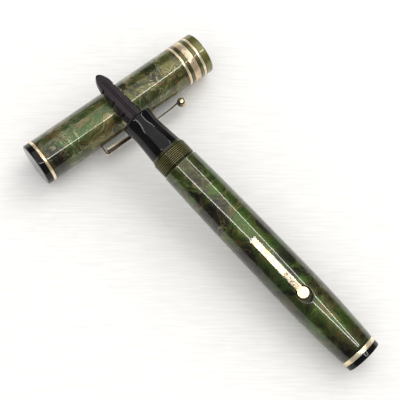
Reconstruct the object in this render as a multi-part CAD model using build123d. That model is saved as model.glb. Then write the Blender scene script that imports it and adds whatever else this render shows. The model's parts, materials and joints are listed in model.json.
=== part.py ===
"""Lever-filling fountain pen resting across its own cap.

Two assemblies share one frame: the cap lies on the table along Y, and the pen crosses it with
its nose raised on the cap and its tail on the table. Every turned piece is drawn about the X axis
of its own assembly and then placed. Millimetres, +Z up, origin under the middle of the whole.
"""

import os
from math import asin, atan2, cos, degrees, radians, sin, sqrt

from build123d import *

# ---- fits shared by the pieces -------------------------------------------------------------
gap_running = 0.10      # radial, lever hole on its ring
gap_slot = 0.13         # each side of the lever in its slot
gap_loose = 0.03        # pieces that only lie beside each other
gap_nib_seat = 0.20     # what the missing nib leaves round the feed, radial
gap_lead_in = 0.12      # radial, cap's smooth mouth over the barrel's shoulder
gap_tang = 0.30         # clip's tang under its backplate, room to flex

# ---- cap: stations run from the tube's crown end (0) to its lip ----------------------------
cap_radius = 6.85
cap_length = 59.8
cap_bore = 5.60
cap_edge = 0.45         # rounding of the lip
crown_length = 2.0
crown_edge = 0.45
crown_stud_radius = 4.0
crown_stud_length = 5.5
crown_ring_width = 1.0
cap_end_wall = 6.5      # solid tube end that takes the crown's stud
lead_in_length = 2.2
cap_thread_turns = 8
band_depth = 0.45
band_thin = 0.95
band_wide = 2.30
band_lip_setback = 2.40
band_gap = 1.15

inner_cap_wall = 1.20
inner_cap_nose_wall = 0.60
inner_cap_relief = 1.40  # nose inside the tube's bore, room for the clip's tang
inner_cap_nose_length = 13.0
inner_cap_end = 1.2
inner_cap_setback = 1.5   # behind the tube's end wall

# ---- clip ----------------------------------------------------------------------------------
clip_angle = 104.0      # round the cap from its top towards the pen
clip_station = 16.5
clip_length = 29.0      # slot to ball centre
clip_root_width = 3.0
clip_tip_width = 1.9
clip_thick = 0.50
clip_root_rise = 3.20    # outer face above the cap's skin at the root
clip_tip_rise = 2.85     # outer face where the strip dips to the ball
clip_ball_radius = 1.50
clip_ball_rise = 2.65    # ball's centre above the cap's skin
clip_tang_length = 2.5
clip_wall_depth = 1.50   # folded side walls, deepest at the root
clip_wall_length = 20.0
clip_slot_gap = 0.15
backplate_thick = 0.25
backplate_length = 6.0
backplate_angle = 50.0

# ---- pen: stations run from the section's mouth (0) to the tail ------------------------------
section_length = 13.45
section_lip_radius = 5.06
section_waist_radius = 4.70
section_waist_station = 4.10
section_end_radius = 5.33
section_lip_round = 0.55
tenon_length = 7.0
nipple_length = 5.0
nipple_radius = 3.20
nipple_bore = 1.20
section_hole_depth = 11.0

barrel_bore = 4.60
thread_length = 6.0
thread_turns = 9
thread_radius = 5.80
thread_depth = 0.32
thread_lead_in = 0.9
shoulder_radius = 5.98
shoulder_chamfer = 0.25
barrel_length = 80.1    # mouth of the barrel to the end ring
barrel_swell = ((18.0, 0.41), (36.0, 0.56), (52.0, 0.64), (64.0, 0.34))  # past the shoulder, proud of it
barrel_tail_radius = 5.82

end_ring_width = 1.4
end_plug_radius = 5.72
end_plug_length = 1.75
end_plug_dome = 0.55
end_plug_edge = 0.50
end_plug_stud = 4.5

# ---- lever and what it presses ---------------------------------------------------------------
barrel_roll = 12.4      # lever's plane, turned from straight up
lever_start = 50.4
lever_pivot_station = 54.5
lever_disc_station = 71.0
lever_width = 1.84
lever_thick = 0.90
lever_disc_radius = 1.68
lever_proud = 0.13      # top face above the barrel's fullest skin
lever_swing = 85.0
lever_boss_radius = 0.95
slot_front_gap = 0.55
slot_tail_length = 15.6  # slot behind the pivot
disc_pocket_depth = 1.27  # below the barrel's fullest skin
thumb_radius = 2.9
thumb_depth = 0.9
thumb_offset = 0.6

ring_wire_radius = 0.40
ring_wire_bite = 0.30   # wire's centre outside the barrel's bore
ring_opening = 70.0
groove_gap = 0.06

press_rate = 2.2        # bar travel per radian of lever
bar_drop = 0.80         # bar's top face below the lever's pivot
bar_width = 2.9
bar_thick = 0.35
bar_start = 27.0
bar_end_gap = 5.05      # bar's end ahead of the tail plug's stud
rivet_setback = 2.0     # rivet ahead of the bar's end
rivet_radius = 0.45
rivet_head_radius = 0.85
rivet_head_thick = 0.10
spring_thick = 0.20
spring_width = 2.5
spring_lap = 5.0        # leaf lying on the bar
spring_leg = 8.0        # leaf along the far wall

sac_radius = 3.70
sac_wall = 0.50
sac_setback = 1.0       # sac's end ahead of the bar's end

# ---- feed ------------------------------------------------------------------------------------
feed_roll = -4.0
feed_radius = 2.95
feed_reach = 17.35
feed_top = 1.95         # flat nib seat above the pen's axis
feed_tip_rise = 0.50    # keel's middle at the tip, above the pen's axis
feed_straight = 4.0     # ahead of the mouth before the keel starts to rise
feed_tip_radius = 0.30
feed_waist_half = 1.85
feed_head_half = 2.15
feed_head_length = 5.0
feed_notch_pitch = 4.65
feed_notch_half = 0.22
feed_notch_depth = 0.40
fissure_offset = 0.32
fissure_width = 0.18
fissure_depth = 0.45
fissure_stop = 3.0      # short of the tip

# ---- how the two assemblies lie --------------------------------------------------------------
cross_angle = 6.06      # pen's nose direction, turned from +X towards +Y
mouth_past_cap = 8.97   # along the pen from the cap's crest back to the section's mouth
cross_station = 27.2    # cap station where the feed crosses the crest
rest_gap = 0.05

# ---- derived -------------------------------------------------------------------------------
section_bore = feed_radius + gap_nib_seat
lead_in_radius = shoulder_radius + gap_lead_in
inner_cap_bore = cap_bore - inner_cap_wall
inner_cap_nose_radius = cap_bore - inner_cap_relief
inner_cap_nose_bore = inner_cap_nose_radius - inner_cap_nose_wall
clip_root_radius = cap_radius + clip_root_rise
clip_tip_radius = cap_radius + clip_tip_rise
clip_ball_centre = cap_radius + clip_ball_rise
clip_tang_radius = cap_bore - backplate_thick - gap_tang
barrel_start = section_length
shoulder_station = barrel_start + thread_length
ring_station = barrel_start + barrel_length
plug_station = ring_station + end_ring_width
tail_station = plug_station + end_plug_length + end_plug_dome
feed_drop = section_bore - feed_radius
barrel_skin = shoulder_radius + max(proud for _, proud in barrel_swell)
lever_top = barrel_skin + lever_proud
ring_centre_radius = barrel_bore + ring_wire_bite
pivot_height = ring_centre_radius
bar_top = pivot_height - bar_drop
cap_thread_pitch = thread_length / thread_turns
inner_cap_mouth = cap_length - shoulder_station
bar_end = ring_station - end_plug_stud - bar_end_gap
rivet_station = bar_end - rivet_setback
sac_end_station = bar_end - sac_setback


def turned(points):
    """A closed (station, radius) outline of straight lines, turned about X."""
    face = make_face(Polyline(*points, close=True))
    return revolve(face, Axis.X)


def turned_edges(edges):
    """A closed outline of mixed edges, turned about X."""
    return revolve(make_face(Curve() + edges), Axis.X)


def ring(start, width, inner, outer):
    """A plain turned ring."""
    return turned([(start, inner), (start + width, inner), (start + width, outer), (start, outer)])


def ridges(start, pitch, turns, crest, root):
    """Zigzag outline of ring-shaped thread ridges."""
    points = []
    for turn in range(turns):
        base = start + turn * pitch
        points += [(base, root), (base + 0.3 * pitch, crest), (base + 0.7 * pitch, crest)]
    return points + [(start + turns * pitch, root)]


# ---- cap pieces ------------------------------------------------------------------------------
def band_spans():
    """Start and width of each metal band, from the crown side to the lip."""
    lip_band = cap_length - band_lip_setback - band_thin
    wide = lip_band - band_gap - band_wide
    crown_band = wide - band_gap - band_thin
    return {
        "upper_thin_band": (crown_band, band_thin),
        "wide_band": (wide, band_wide),
        "lower_thin_band": (lip_band, band_thin),
    }


def make_cap_tube():
    """Cap wall with its lead-in, inner thread ridges, band grooves, stud hole and clip slot."""
    thread_end = cap_length - lead_in_length
    thread_start = thread_end - cap_thread_turns * cap_thread_pitch
    crest = thread_radius - thread_depth + gap_loose
    root = thread_radius + gap_loose
    inside = [(0, crown_stud_radius), (cap_end_wall, crown_stud_radius), (cap_end_wall, cap_bore)]
    inside += ridges(thread_start, cap_thread_pitch, cap_thread_turns, crest, root)
    inside += [(thread_end, lead_in_radius), (cap_length, lead_in_radius)]
    outside = [(cap_length, cap_radius), (0, cap_radius)]
    tube = turned(inside + outside)
    lip = tube.edges().filter_by(GeomType.CIRCLE).sort_by(Axis.X)[-2:].sort_by(SortBy.RADIUS)[-1]
    tube = fillet(lip, cap_edge)
    for start, width in band_spans().values():
        tube -= ring(start, width, cap_radius - band_depth, cap_radius + 1)
    return tube - clip_slot()


def make_crown():
    """Flat-ended black crown with its stud in the tube's end."""
    face_station = -crown_ring_width
    head = turned([(face_station - crown_length, 0), (face_station - crown_length, cap_radius),
                   (face_station, cap_radius), (face_station, 0)])
    head = fillet(head.edges().filter_by(GeomType.CIRCLE).sort_by(Axis.X)[0], crown_edge)
    stud = turned([(face_station, 0), (face_station, crown_stud_radius),
                   (crown_stud_length, crown_stud_radius), (crown_stud_length, 0)])
    return head + stud


def make_inner_cap():
    """Stepped liner that the section's lip seals against."""
    nose = cap_end_wall + inner_cap_setback
    step = nose + inner_cap_nose_length
    return turned([
        (nose, 0), (nose, inner_cap_nose_radius), (step, inner_cap_nose_radius), (step, cap_bore),
        (inner_cap_mouth, cap_bore), (inner_cap_mouth, inner_cap_bore),
        (step + inner_cap_end, inner_cap_bore), (step + inner_cap_end, inner_cap_nose_bore),
        (nose + inner_cap_end, inner_cap_nose_bore), (nose + inner_cap_end, 0),
    ])


# ---- clip pieces, drawn at the cap's top and turned round to clip_angle ------------------------
def turn_clip(shape):
    """Turns a shape drawn at the cap's top round to the clip's side."""
    return Rot(clip_angle, 0, 0) * shape


def clip_leg_slot(reach):
    """The hole that the clip's leg needs, from the axis side out to reach."""
    length = clip_thick + 2 * clip_slot_gap
    width = clip_root_width + 2 * clip_slot_gap
    return Pos(clip_station, 0, (3 + reach) / 2) * Box(length, width, reach - 3)


def clip_slot():
    """The slot through the cap's wall."""
    return turn_clip(clip_leg_slot(cap_radius + 1))


def clip_walls(root_height, end_height):
    """Side walls folded down from the strip, deep at its root and running out along the arm."""
    start = clip_station + 2 * clip_thick
    end = clip_station + clip_wall_length
    side = Polyline((start, root_height), (end, end_height), (end, end_height - clip_thick / 2),
                    (start, root_height - clip_wall_depth), close=True)
    block = extrude(Plane.XZ * make_face(side), clip_root_width / 2, both=True)
    hollow = Box(clip_wall_length, clip_root_width - 2 * clip_thick, 2 * clip_wall_depth)
    return block - Pos((start + end) / 2, 0, root_height - clip_wall_depth) * hollow


def make_clip_strip():
    """Spring strip: inner tang, leg through the slot, long tapering arm that dips to the ball."""
    half = clip_thick / 2
    ball_station = clip_station + clip_length
    dip_start = ball_station - 5.0
    tang = clip_tang_radius - half
    root_r = clip_root_radius - half
    tip_r = clip_tip_radius - half
    line = FilletPolyline(
        (clip_station - clip_tang_length, 0, tang),
        (clip_station, 0, tang),
        (clip_station, 0, root_r),
        (dip_start, 0, tip_r),
        (ball_station - 1.0, 0, clip_ball_centre - 0.5),
        radius=(0.3, 0.8, 6.0),
    )
    section_plane = Plane(origin=line @ 0, z_dir=line % 0, x_dir=(0, 1, 0))
    strip = sweep(section_plane * Rectangle(clip_root_width, clip_thick), path=line)
    taper = (clip_root_width - clip_tip_width) / 2
    strip += clip_walls(root_r, root_r + (tip_r - root_r) * clip_wall_length / (dip_start - clip_station))
    edge = clip_root_width / 2
    start = clip_station + 2
    end = ball_station + 2
    for side in (1, -1):
        wedge = Polyline((start, side * edge), (end, side * (edge - taper)), (end, side * (edge + 2)),
                         (start, side * (edge + 2)), close=True)
        strip -= Pos(0, 0, cap_radius) * extrude(make_face(wedge), 5)
    return turn_clip(strip - clip_ball_shape())


def clip_ball_shape():
    """The ball as the strip meets it, at the cap's top."""
    return Pos(clip_station + clip_length, 0, clip_ball_centre) * Sphere(clip_ball_radius)


def make_clip_ball():
    """Round foot of the clip, turned to its place."""
    return turn_clip(clip_ball_shape())


def make_clip_backplate():
    """Curved plate under the cap's wall that the clip's tang hooks behind."""
    start = clip_station - backplate_length / 2
    shell = ring(start, backplate_length, cap_bore - backplate_thick, cap_bore)
    half_width = cap_bore * sin(radians(backplate_angle / 2))
    window = Pos(clip_station, 0, cap_bore) * Box(backplate_length + 1, 2 * half_width, cap_bore)
    return turn_clip((shell & window) - clip_leg_slot(cap_radius))


# ---- pen pieces --------------------------------------------------------------------------------
def barrel_outline():
    """Swell of the barrel from its shoulder to the end ring."""
    points = [(shoulder_station + shoulder_chamfer, shoulder_radius)]
    points += [(shoulder_station + along, shoulder_radius + proud) for along, proud in barrel_swell]
    return points + [(ring_station, barrel_tail_radius)]


def make_barrel():
    """Barrel with thread ridges, ring groove, lever slot, disc pocket and thumb recess."""
    root = thread_radius - thread_depth
    pitch = (thread_length - thread_lead_in - 0.3) / thread_turns
    front = [(barrel_start, barrel_bore), (barrel_start, root - 0.05)]
    front += ridges(barrel_start + thread_lead_in, pitch, thread_turns, thread_radius, root)
    front += [(shoulder_station, root), (shoulder_station, shoulder_radius - shoulder_chamfer),
              (shoulder_station + shoulder_chamfer, shoulder_radius)]
    edges = [
        Polyline(*front),
        Spline(*barrel_outline()),
        Polyline((ring_station, barrel_tail_radius), (ring_station, barrel_bore),
                 (barrel_start, barrel_bore)),
    ]
    barrel = turned_edges(edges)
    groove_half = ring_wire_radius + groove_gap
    groove_radius = ring_centre_radius + groove_half
    barrel -= ring(lever_pivot_station - groove_half, 2 * groove_half, barrel_bore - 1, groove_radius)
    return barrel - Rot(barrel_roll, 0, 0) * lever_space()


def lever_space():
    """Everything milled out of the barrel for the lever, drawn with the lever at the top."""
    start = lever_start - slot_front_gap
    end = lever_pivot_station + slot_tail_length
    width = lever_width + 2 * gap_slot
    top = lever_top + 2
    slot = Pos((start + end) / 2, 0, top / 2) * Box(end - start, width, top)
    floor = barrel_skin - disc_pocket_depth
    pocket = Cylinder(lever_disc_radius + gap_slot, top - floor)
    pocket = Pos(lever_disc_station, 0, (floor + top) / 2) * pocket
    ball_radius = (thumb_radius ** 2 + thumb_depth ** 2) / (2 * thumb_depth)
    ball_height = barrel_skin - thumb_depth + ball_radius
    scoop = Pos(lever_disc_station + thumb_offset, 0, ball_height) * Sphere(ball_radius)
    return slot + pocket + scoop


def make_end_ring():
    """Metal ring between barrel and end plug."""
    return ring(ring_station, end_ring_width, barrel_bore, barrel_tail_radius)


def make_end_plug():
    """Domed black end with its stud in the barrel."""
    edge_station = plug_station + end_plug_length
    shoulder = end_plug_radius - end_plug_edge
    dome_radius = (shoulder ** 2 + end_plug_dome ** 2) / (2 * end_plug_dome)
    dome_centre = tail_station - dome_radius
    half_way = asin(shoulder / dome_radius) / 2
    dome_middle = (dome_centre + dome_radius * cos(half_way), dome_radius * sin(half_way))
    edges = [
        Polyline((tail_station, 0), (ring_station - end_plug_stud, 0),
                 (ring_station - end_plug_stud, barrel_bore), (plug_station, barrel_bore),
                 (plug_station, end_plug_radius), (edge_station - end_plug_edge, end_plug_radius)),
        ThreePointArc((edge_station - end_plug_edge, end_plug_radius),
                      (edge_station - end_plug_edge * (1 - sqrt(0.5)), shoulder + end_plug_edge * sqrt(0.5)),
                      (edge_station, shoulder)),
        ThreePointArc((edge_station, shoulder), dome_middle, (tail_station, 0)),
    ]
    return turned_edges(edges)


def make_section():
    """Grip: rounded lip, concave flare, tenon in the barrel and nipple for the sac."""
    lip = section_lip_radius
    tenon_end = section_length + tenon_length
    nipple_end = tenon_end + nipple_length
    edges = [
        Polyline((section_lip_round, section_bore), (section_hole_depth, section_bore),
                 (section_hole_depth, nipple_bore), (nipple_end, nipple_bore), (nipple_end, nipple_radius),
                 (tenon_end, nipple_radius), (tenon_end, barrel_bore), (section_length, barrel_bore),
                 (section_length, section_end_radius)),
        Spline((section_length, section_end_radius), (section_waist_station, section_waist_radius),
               (section_lip_round * 1.6, lip)),
        Spline((section_lip_round * 1.6, lip), (0, (lip + section_bore) / 2 + 0.25),
               (section_lip_round, section_bore)),
    ]
    return turned_edges(edges)


def keel_radius(reach):
    """Radius of the feed's rounded underside at a distance ahead of the mouth."""
    span = feed_reach - feed_straight
    fall = feed_radius - feed_tip_radius
    bend = (span ** 2 + fall ** 2) / (2 * fall)
    past = max(0.0, reach - feed_straight)
    return feed_radius - bend + sqrt(bend ** 2 - past ** 2)


def feed_half(reach):
    """Half-breadth of the feed seen from above, ahead of the mouth, up to its head."""
    return feed_radius - (feed_radius - feed_waist_half) * reach / (feed_reach - feed_head_length)


def feed_plan():
    """Outline of the feed's face seen from above: straight taper, side nicks and pointed head."""
    root = section_hole_depth - gap_loose
    head = feed_reach - feed_head_length
    side = [
        (root, feed_radius), (0, feed_radius), (-head + feed_notch_half, feed_half(head - feed_notch_half)),
        (-head, feed_waist_half - feed_notch_depth), (-head - feed_notch_half, feed_head_half),
    ]
    shoulder = side[-1]
    mirrored = [(x, -y) for x, y in side]
    bulge = -feed_reach + 0.32 * feed_head_length
    return Curve() + [
        Polyline(*side),
        Spline(shoulder, (bulge, 0.66 * feed_head_half), (-feed_reach, 0), (bulge, -0.66 * feed_head_half),
               (shoulder[0], -shoulder[1])),
        Polyline(*mirrored),
        Line(side[0], mirrored[0]),
    ]


def make_feed():
    """Tongue-shaped ink feed: round keel, flat nib seat, side nicks and two ink fissures."""
    root = section_hole_depth - gap_loose
    reaches = [feed_straight + (feed_reach - feed_straight) * step / 6 for step in range(7)]
    under = [(-reach, feed_top + feed_depth(reach)) for reach in reaches]
    keel_edges = [
        Spline(*under),
        Polyline(under[-1], (-feed_reach, 0), (root, 0), (root, feed_top + feed_depth(0)),
                 (0, feed_top + feed_depth(0)), under[0]),
    ]
    keel = Pos(0, 0, feed_top) * turned_edges(keel_edges)
    stem = Pos(0, 0, -feed_drop) * turned([(-feed_reach, 0), (-feed_reach, feed_radius), (root, feed_radius),
                                          (root, 0)])
    body = keel & stem
    body &= Pos(0, 0, -6) * extrude(make_face(feed_plan()), 12)
    body -= Pos(-6, 0, feed_top + 3) * Box(2 * section_hole_depth + feed_reach, 12, 6)
    length = feed_reach - fissure_stop + section_hole_depth
    for offset in (fissure_offset, -fissure_offset):
        centre = section_hole_depth - length / 2
        body -= Pos(centre, offset, feed_top) * Box(length, fissure_width, 2 * fissure_depth)
    for count in (1, 2):
        reach = feed_reach - feed_head_length - count * feed_notch_pitch
        for side in (1, -1):
            body -= Pos(-reach, side * feed_half(reach), 0) * Cylinder(feed_notch_half, 12)
    return Rot(feed_roll, 0, 0) * body


def make_ink_sac():
    """Latex sac stretched over the nipple, closed with a round end."""
    start = section_length + tenon_length + 2 * gap_loose
    inner = nipple_radius
    outer = inner + sac_wall
    dome = sac_end_station - outer
    edges = [
        Polyline((sac_end_station - sac_wall, 0), (sac_end_station, 0)),
        RadiusArc((sac_end_station, 0), (dome, outer), -outer),
        Polyline((dome, outer), (start, outer), (start, inner), (dome, inner)),
        RadiusArc((dome, inner), (sac_end_station - sac_wall, 0), inner),
    ]
    return turned_edges(edges)


def cam_points():
    """Front face of the lever: the curve that pushes a flat bar down at a steady rate."""
    start_drop = bar_drop - gap_loose / 2
    points = []
    for step in range(9):
        angle = radians(lever_swing) * step / 8
        drop = start_drop + press_rate * angle
        along = -press_rate * cos(angle) - drop * sin(angle)
        up = press_rate * sin(angle) - drop * cos(angle)
        points.append((lever_pivot_station + along, pivot_height + up))
    return points


def make_lever():
    """Flat bar with a round finger end, hung on the ring; its short front arm is the cam."""
    cam = cam_points()
    floor = lever_top - lever_thick
    side = Curve() + [
        Spline(*cam),
        Polyline(cam[-1], (cam[-1][0], lever_top), (lever_disc_station, lever_top),
                 (lever_disc_station, floor), (lever_pivot_station + 1.6, floor),
                 (lever_pivot_station + lever_boss_radius, pivot_height),
                 (lever_pivot_station + 0.4, pivot_height - lever_boss_radius + 0.3),
                 (cam[0][0] + 0.4, cam[0][1]), cam[0]),
    ]
    arm = extrude(Plane.XZ * make_face(side), lever_width / 2, both=True)
    disc = Pos(lever_disc_station, 0, lever_top - lever_thick / 2) * Cylinder(lever_disc_radius, lever_thick)
    hole = Pos(lever_pivot_station, 0, pivot_height) * Rot(90, 0, 0) * Cylinder(
        ring_wire_radius + gap_running, lever_width * 2)
    return Rot(barrel_roll, 0, 0) * (arm + disc - hole)


def make_lever_ring():
    """Open wire ring sprung into the barrel's groove; the lever hangs on its top."""
    sweep_angle = 360 - ring_opening
    start = Plane(origin=(lever_pivot_station, 0, ring_centre_radius), z_dir=(0, 1, 0))
    wire = revolve(start * Circle(ring_wire_radius), Axis.X, sweep_angle)
    return Rot(barrel_roll - sweep_angle / 2, 0, 0) * wire


def make_pressure_bar():
    """Flat bar under the lever that flattens the sac."""
    middle = (bar_start + bar_end) / 2
    bar = Pos(middle, 0, bar_top - bar_thick / 2) * Box(bar_end - bar_start, bar_width, bar_thick)
    hole = Pos(rivet_station, 0, bar_top) * Cylinder(rivet_radius, 2)
    return Rot(barrel_roll, 0, 0) * (bar - hole)


def make_bar_rivet():
    """Shank through bar and spring with a flat head on each side."""
    low = bar_top - bar_thick
    high = bar_top + gap_loose + spring_thick + gap_loose
    shank = Pos(rivet_station, 0, (low + high) / 2) * Cylinder(rivet_radius, high - low)
    heads = [Pos(rivet_station, 0, centre) * Cylinder(rivet_head_radius, rivet_head_thick)
             for centre in (low - rivet_head_thick / 2, high + rivet_head_thick / 2)]
    return Rot(barrel_roll, 0, 0) * (shank + heads)


def make_bar_spring():
    """J-shaped leaf: lies on the bar, bends round the barrel's end and grips the far wall."""
    top = bar_top + gap_loose + spring_thick / 2
    lap = Line((bar_end - spring_lap, 0, top), (bar_end, 0, top))
    bend = ThreePointArc((bar_end, 0, top), (bar_end + top, 0, 0), (bar_end, 0, -top))
    leg = Line((bar_end, 0, -top), (bar_end - spring_leg, 0, -top))
    path = Wire([*lap.edges(), *bend.edges(), *leg.edges()])
    start_plane = Plane(origin=path @ 0, z_dir=path % 0, x_dir=(0, 1, 0))
    leaf = sweep(start_plane * Rectangle(spring_width, spring_thick), path=path)
    leaf -= Pos(rivet_station, 0, bar_top) * Cylinder(rivet_radius + gap_loose, 2)
    return Rot(barrel_roll, 0, 0) * leaf


# ---- placing ---------------------------------------------------------------------------------
def feed_depth(reach):
    """Feed's underside below the pen's axis at a distance ahead of the mouth."""
    rise = (feed_tip_rise + feed_drop) * reach / feed_reach
    return keel_radius(reach) + feed_drop - rise


def mouth_height(tilt):
    """Height of the section's mouth centre with the plug's rounded edge on the table."""
    edge_station = plug_station + end_plug_length - end_plug_edge
    edge_centre = end_plug_radius - end_plug_edge
    return edge_station * sin(tilt) + edge_centre * cos(tilt) + end_plug_edge


def rest_tilt():
    """Slope of the pen with its tail on the table and its feed just over the cap's crest."""
    step = 0.5
    under_slope = atan2(feed_depth(mouth_past_cap - step) - feed_depth(mouth_past_cap + step), 2 * step)
    tilt = 0.1
    reach = plug_station + end_plug_length - end_plug_edge + mouth_past_cap
    for _ in range(30):
        crest = cap_radius + cap_radius / cos(tilt + under_slope) + rest_gap
        tail_rise = mouth_height(tilt) - (reach - mouth_past_cap) * sin(tilt)
        rise = crest + feed_depth(mouth_past_cap) * cos(tilt) - tail_rise
        tilt = asin(rise / reach)
    return tilt


def place_cap(shape):
    """Lays a shape drawn about X along Y, resting on the table."""
    return Pos(0, 0, cap_radius) * Rot(0, 0, -90) * shape


def place_pen(shape):
    """Leans a shape drawn about X across the cap, mouth up and tail on the table."""
    tilt = rest_tilt()
    back = mouth_past_cap * cos(tilt)
    nose = radians(cross_angle)
    mouth = (-back * cos(nose), -cross_station - back * sin(nose), mouth_height(tilt))
    return Pos(*mouth) * Rot(0, 0, 180 + cross_angle) * Rot(0, degrees(tilt), 0) * shape


def main():
    """Makes every piece, places it and writes its file."""
    os.makedirs("parts", exist_ok=True)
    cap_pieces = {
        "cap_tube": make_cap_tube(),
        "cap_crown": make_crown(),
        "crown_ring": ring(-crown_ring_width, crown_ring_width, crown_stud_radius, cap_radius),
        "inner_cap": make_inner_cap(),
        "clip_strip": make_clip_strip(),
        "clip_ball": make_clip_ball(),
        "clip_backplate": make_clip_backplate(),
    }
    for name, (start, width) in band_spans().items():
        cap_pieces[name] = ring(start, width, cap_radius - band_depth, cap_radius)
    pen_pieces = {
        "barrel": make_barrel(),
        "end_ring": make_end_ring(),
        "end_plug": make_end_plug(),
        "section": make_section(),
        "feed": make_feed(),
        "ink_sac": make_ink_sac(),
        "lever": make_lever(),
        "lever_ring": make_lever_ring(),
        "pressure_bar": make_pressure_bar(),
        "bar_rivet": make_bar_rivet(),
        "bar_spring": make_bar_spring(),
    }
    placed = {name: place_cap(shape) for name, shape in cap_pieces.items()}
    placed.update({name: place_pen(shape) for name, shape in pen_pieces.items()})
    boxes = [shape.bounding_box() for shape in placed.values()]
    middle_x = (min(box.min.X for box in boxes) + max(box.max.X for box in boxes)) / 2
    middle_y = (min(box.min.Y for box in boxes) + max(box.max.Y for box in boxes)) / 2
    for name, shape in placed.items():
        export_step(Pos(-middle_x, -middle_y, 0) * shape, f"parts/{name}.step")
    print("tilt", round(degrees(rest_tilt()), 4), "middle", round(middle_x, 4), round(middle_y, 4))


main()
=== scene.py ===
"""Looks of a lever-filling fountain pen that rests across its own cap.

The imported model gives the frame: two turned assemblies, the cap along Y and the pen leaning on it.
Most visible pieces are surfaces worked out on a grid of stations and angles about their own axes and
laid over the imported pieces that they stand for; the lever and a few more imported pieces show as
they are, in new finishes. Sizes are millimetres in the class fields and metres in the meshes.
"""

import json
import logging
import math
from dataclasses import dataclass, field
from enum import Enum
from typing import Sequence

import bmesh
import bpy
import numpy as np
from mathutils import Matrix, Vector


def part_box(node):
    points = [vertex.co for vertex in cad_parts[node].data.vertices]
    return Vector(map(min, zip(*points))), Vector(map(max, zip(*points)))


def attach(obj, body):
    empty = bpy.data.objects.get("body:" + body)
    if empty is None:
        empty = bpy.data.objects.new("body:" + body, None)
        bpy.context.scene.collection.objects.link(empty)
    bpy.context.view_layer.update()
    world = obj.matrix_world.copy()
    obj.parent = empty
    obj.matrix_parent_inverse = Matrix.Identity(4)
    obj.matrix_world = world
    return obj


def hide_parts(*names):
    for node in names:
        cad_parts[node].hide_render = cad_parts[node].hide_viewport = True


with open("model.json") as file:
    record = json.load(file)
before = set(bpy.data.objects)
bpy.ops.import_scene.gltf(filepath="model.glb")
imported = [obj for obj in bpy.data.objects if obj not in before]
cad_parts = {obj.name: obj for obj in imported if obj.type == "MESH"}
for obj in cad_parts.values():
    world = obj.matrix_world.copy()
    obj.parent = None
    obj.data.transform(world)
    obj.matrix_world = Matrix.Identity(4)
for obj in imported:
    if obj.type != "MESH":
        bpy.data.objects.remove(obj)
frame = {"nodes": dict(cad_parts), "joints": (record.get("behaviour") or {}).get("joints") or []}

log = logging.getLogger("pen")
MM = 0.001
TAU = 2 * math.pi
PIVOT_STATION, PIVOT_HEIGHT = 54.5, 4.90  # lever's pivot on the pen, in millimetres
Array = np.ndarray
Color = Vec = tuple[float, float, float]
Material = bpy.types.Material
Object = bpy.types.Object
Socket = bpy.types.NodeSocket
Node = bpy.types.Node
Tree = bpy.types.NodeTree
join = np.concatenate


# ---- frames of the two assemblies ----------------------------------------------------------------
@dataclass(frozen=True)
class TurnedAxis:
    """The frame of one turned assembly: stations along its axis, angles about it.

    Attributes:
        origin: Station 0, in metres.
        along: Unit direction of growing stations.
        side: Unit direction at a quarter turn.
        up: Unit direction at angle 0.
    """

    origin: Array
    along: Array
    side: Array
    up: Array

    def place(self, station: Array, across: Array, height: Array) -> Array:
        """Point = origin + station along + across to the side + height upwards.

        Args:
            station: Millimetres along the axis.
            across: Millimetres towards side.
            height: Millimetres towards up.

        Returns:
            Points in metres, with a last axis of three.
        """
        station, across, height = np.broadcast_arrays(station, across, height)
        steps = (station[..., None] * self.along + across[..., None] * self.side
                 + height[..., None] * self.up)
        return self.origin + steps * MM

    def turn(self, station: Array, radius: Array, angle: Array) -> Array:
        """Point at a radius and an angle: across = radius sin, height = radius cos.

        Args:
            station: Millimetres along the axis.
            radius: Millimetres from the axis.
            angle: Radians from up towards side.

        Returns:
            Points in metres, with a last axis of three.
        """
        return self.place(station, radius * np.sin(angle), radius * np.cos(angle))

    def rolled(self, degrees: float) -> "TurnedAxis":
        """The same axis turned about itself.

        Args:
            degrees: Turn from up towards side.

        Returns:
            The turned frame.
        """
        turn = math.radians(degrees)
        up = self.up * math.cos(turn) + self.side * math.sin(turn)
        side = self.side * math.cos(turn) - self.up * math.sin(turn)
        return TurnedAxis(self.origin, self.along, side, up)

    def matrix(self) -> Matrix:
        """Rotation that takes row directions to this frame's along, side and up."""
        return Matrix([list(self.along), list(self.side), list(self.up)])


def joint(name: str) -> dict:
    """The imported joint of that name."""
    return next(found for found in frame["joints"] if found["name"] == name)


def cap_axis() -> TurnedAxis:
    """The cap's frame: station 0 at the tube's crown end, growing towards its lip."""
    low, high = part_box("cap_crown")
    tube_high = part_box("cap_tube")[1]
    origin = np.array([(low.x + high.x) / 2, tube_high.y, (low.z + high.z) / 2])
    side, across, up = np.eye(3)
    return TurnedAxis(origin, -across, side, up)


def pen_axis() -> TurnedAxis:
    """The pen's frame, lever side up: station 0 at the section's mouth, growing towards its tail."""
    lever = np.array(joint("lever_pivot")["axis"], float)
    press = np.array(joint("bar_press")["axis"], float)
    along = np.cross(lever, press)
    along /= np.linalg.norm(along)
    pivot = np.array(joint("lever_pivot")["pos_m"], float)
    origin = pivot - (along * PIVOT_STATION - press * PIVOT_HEIGHT) * MM
    return TurnedAxis(origin, along, -lever, -press)


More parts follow.
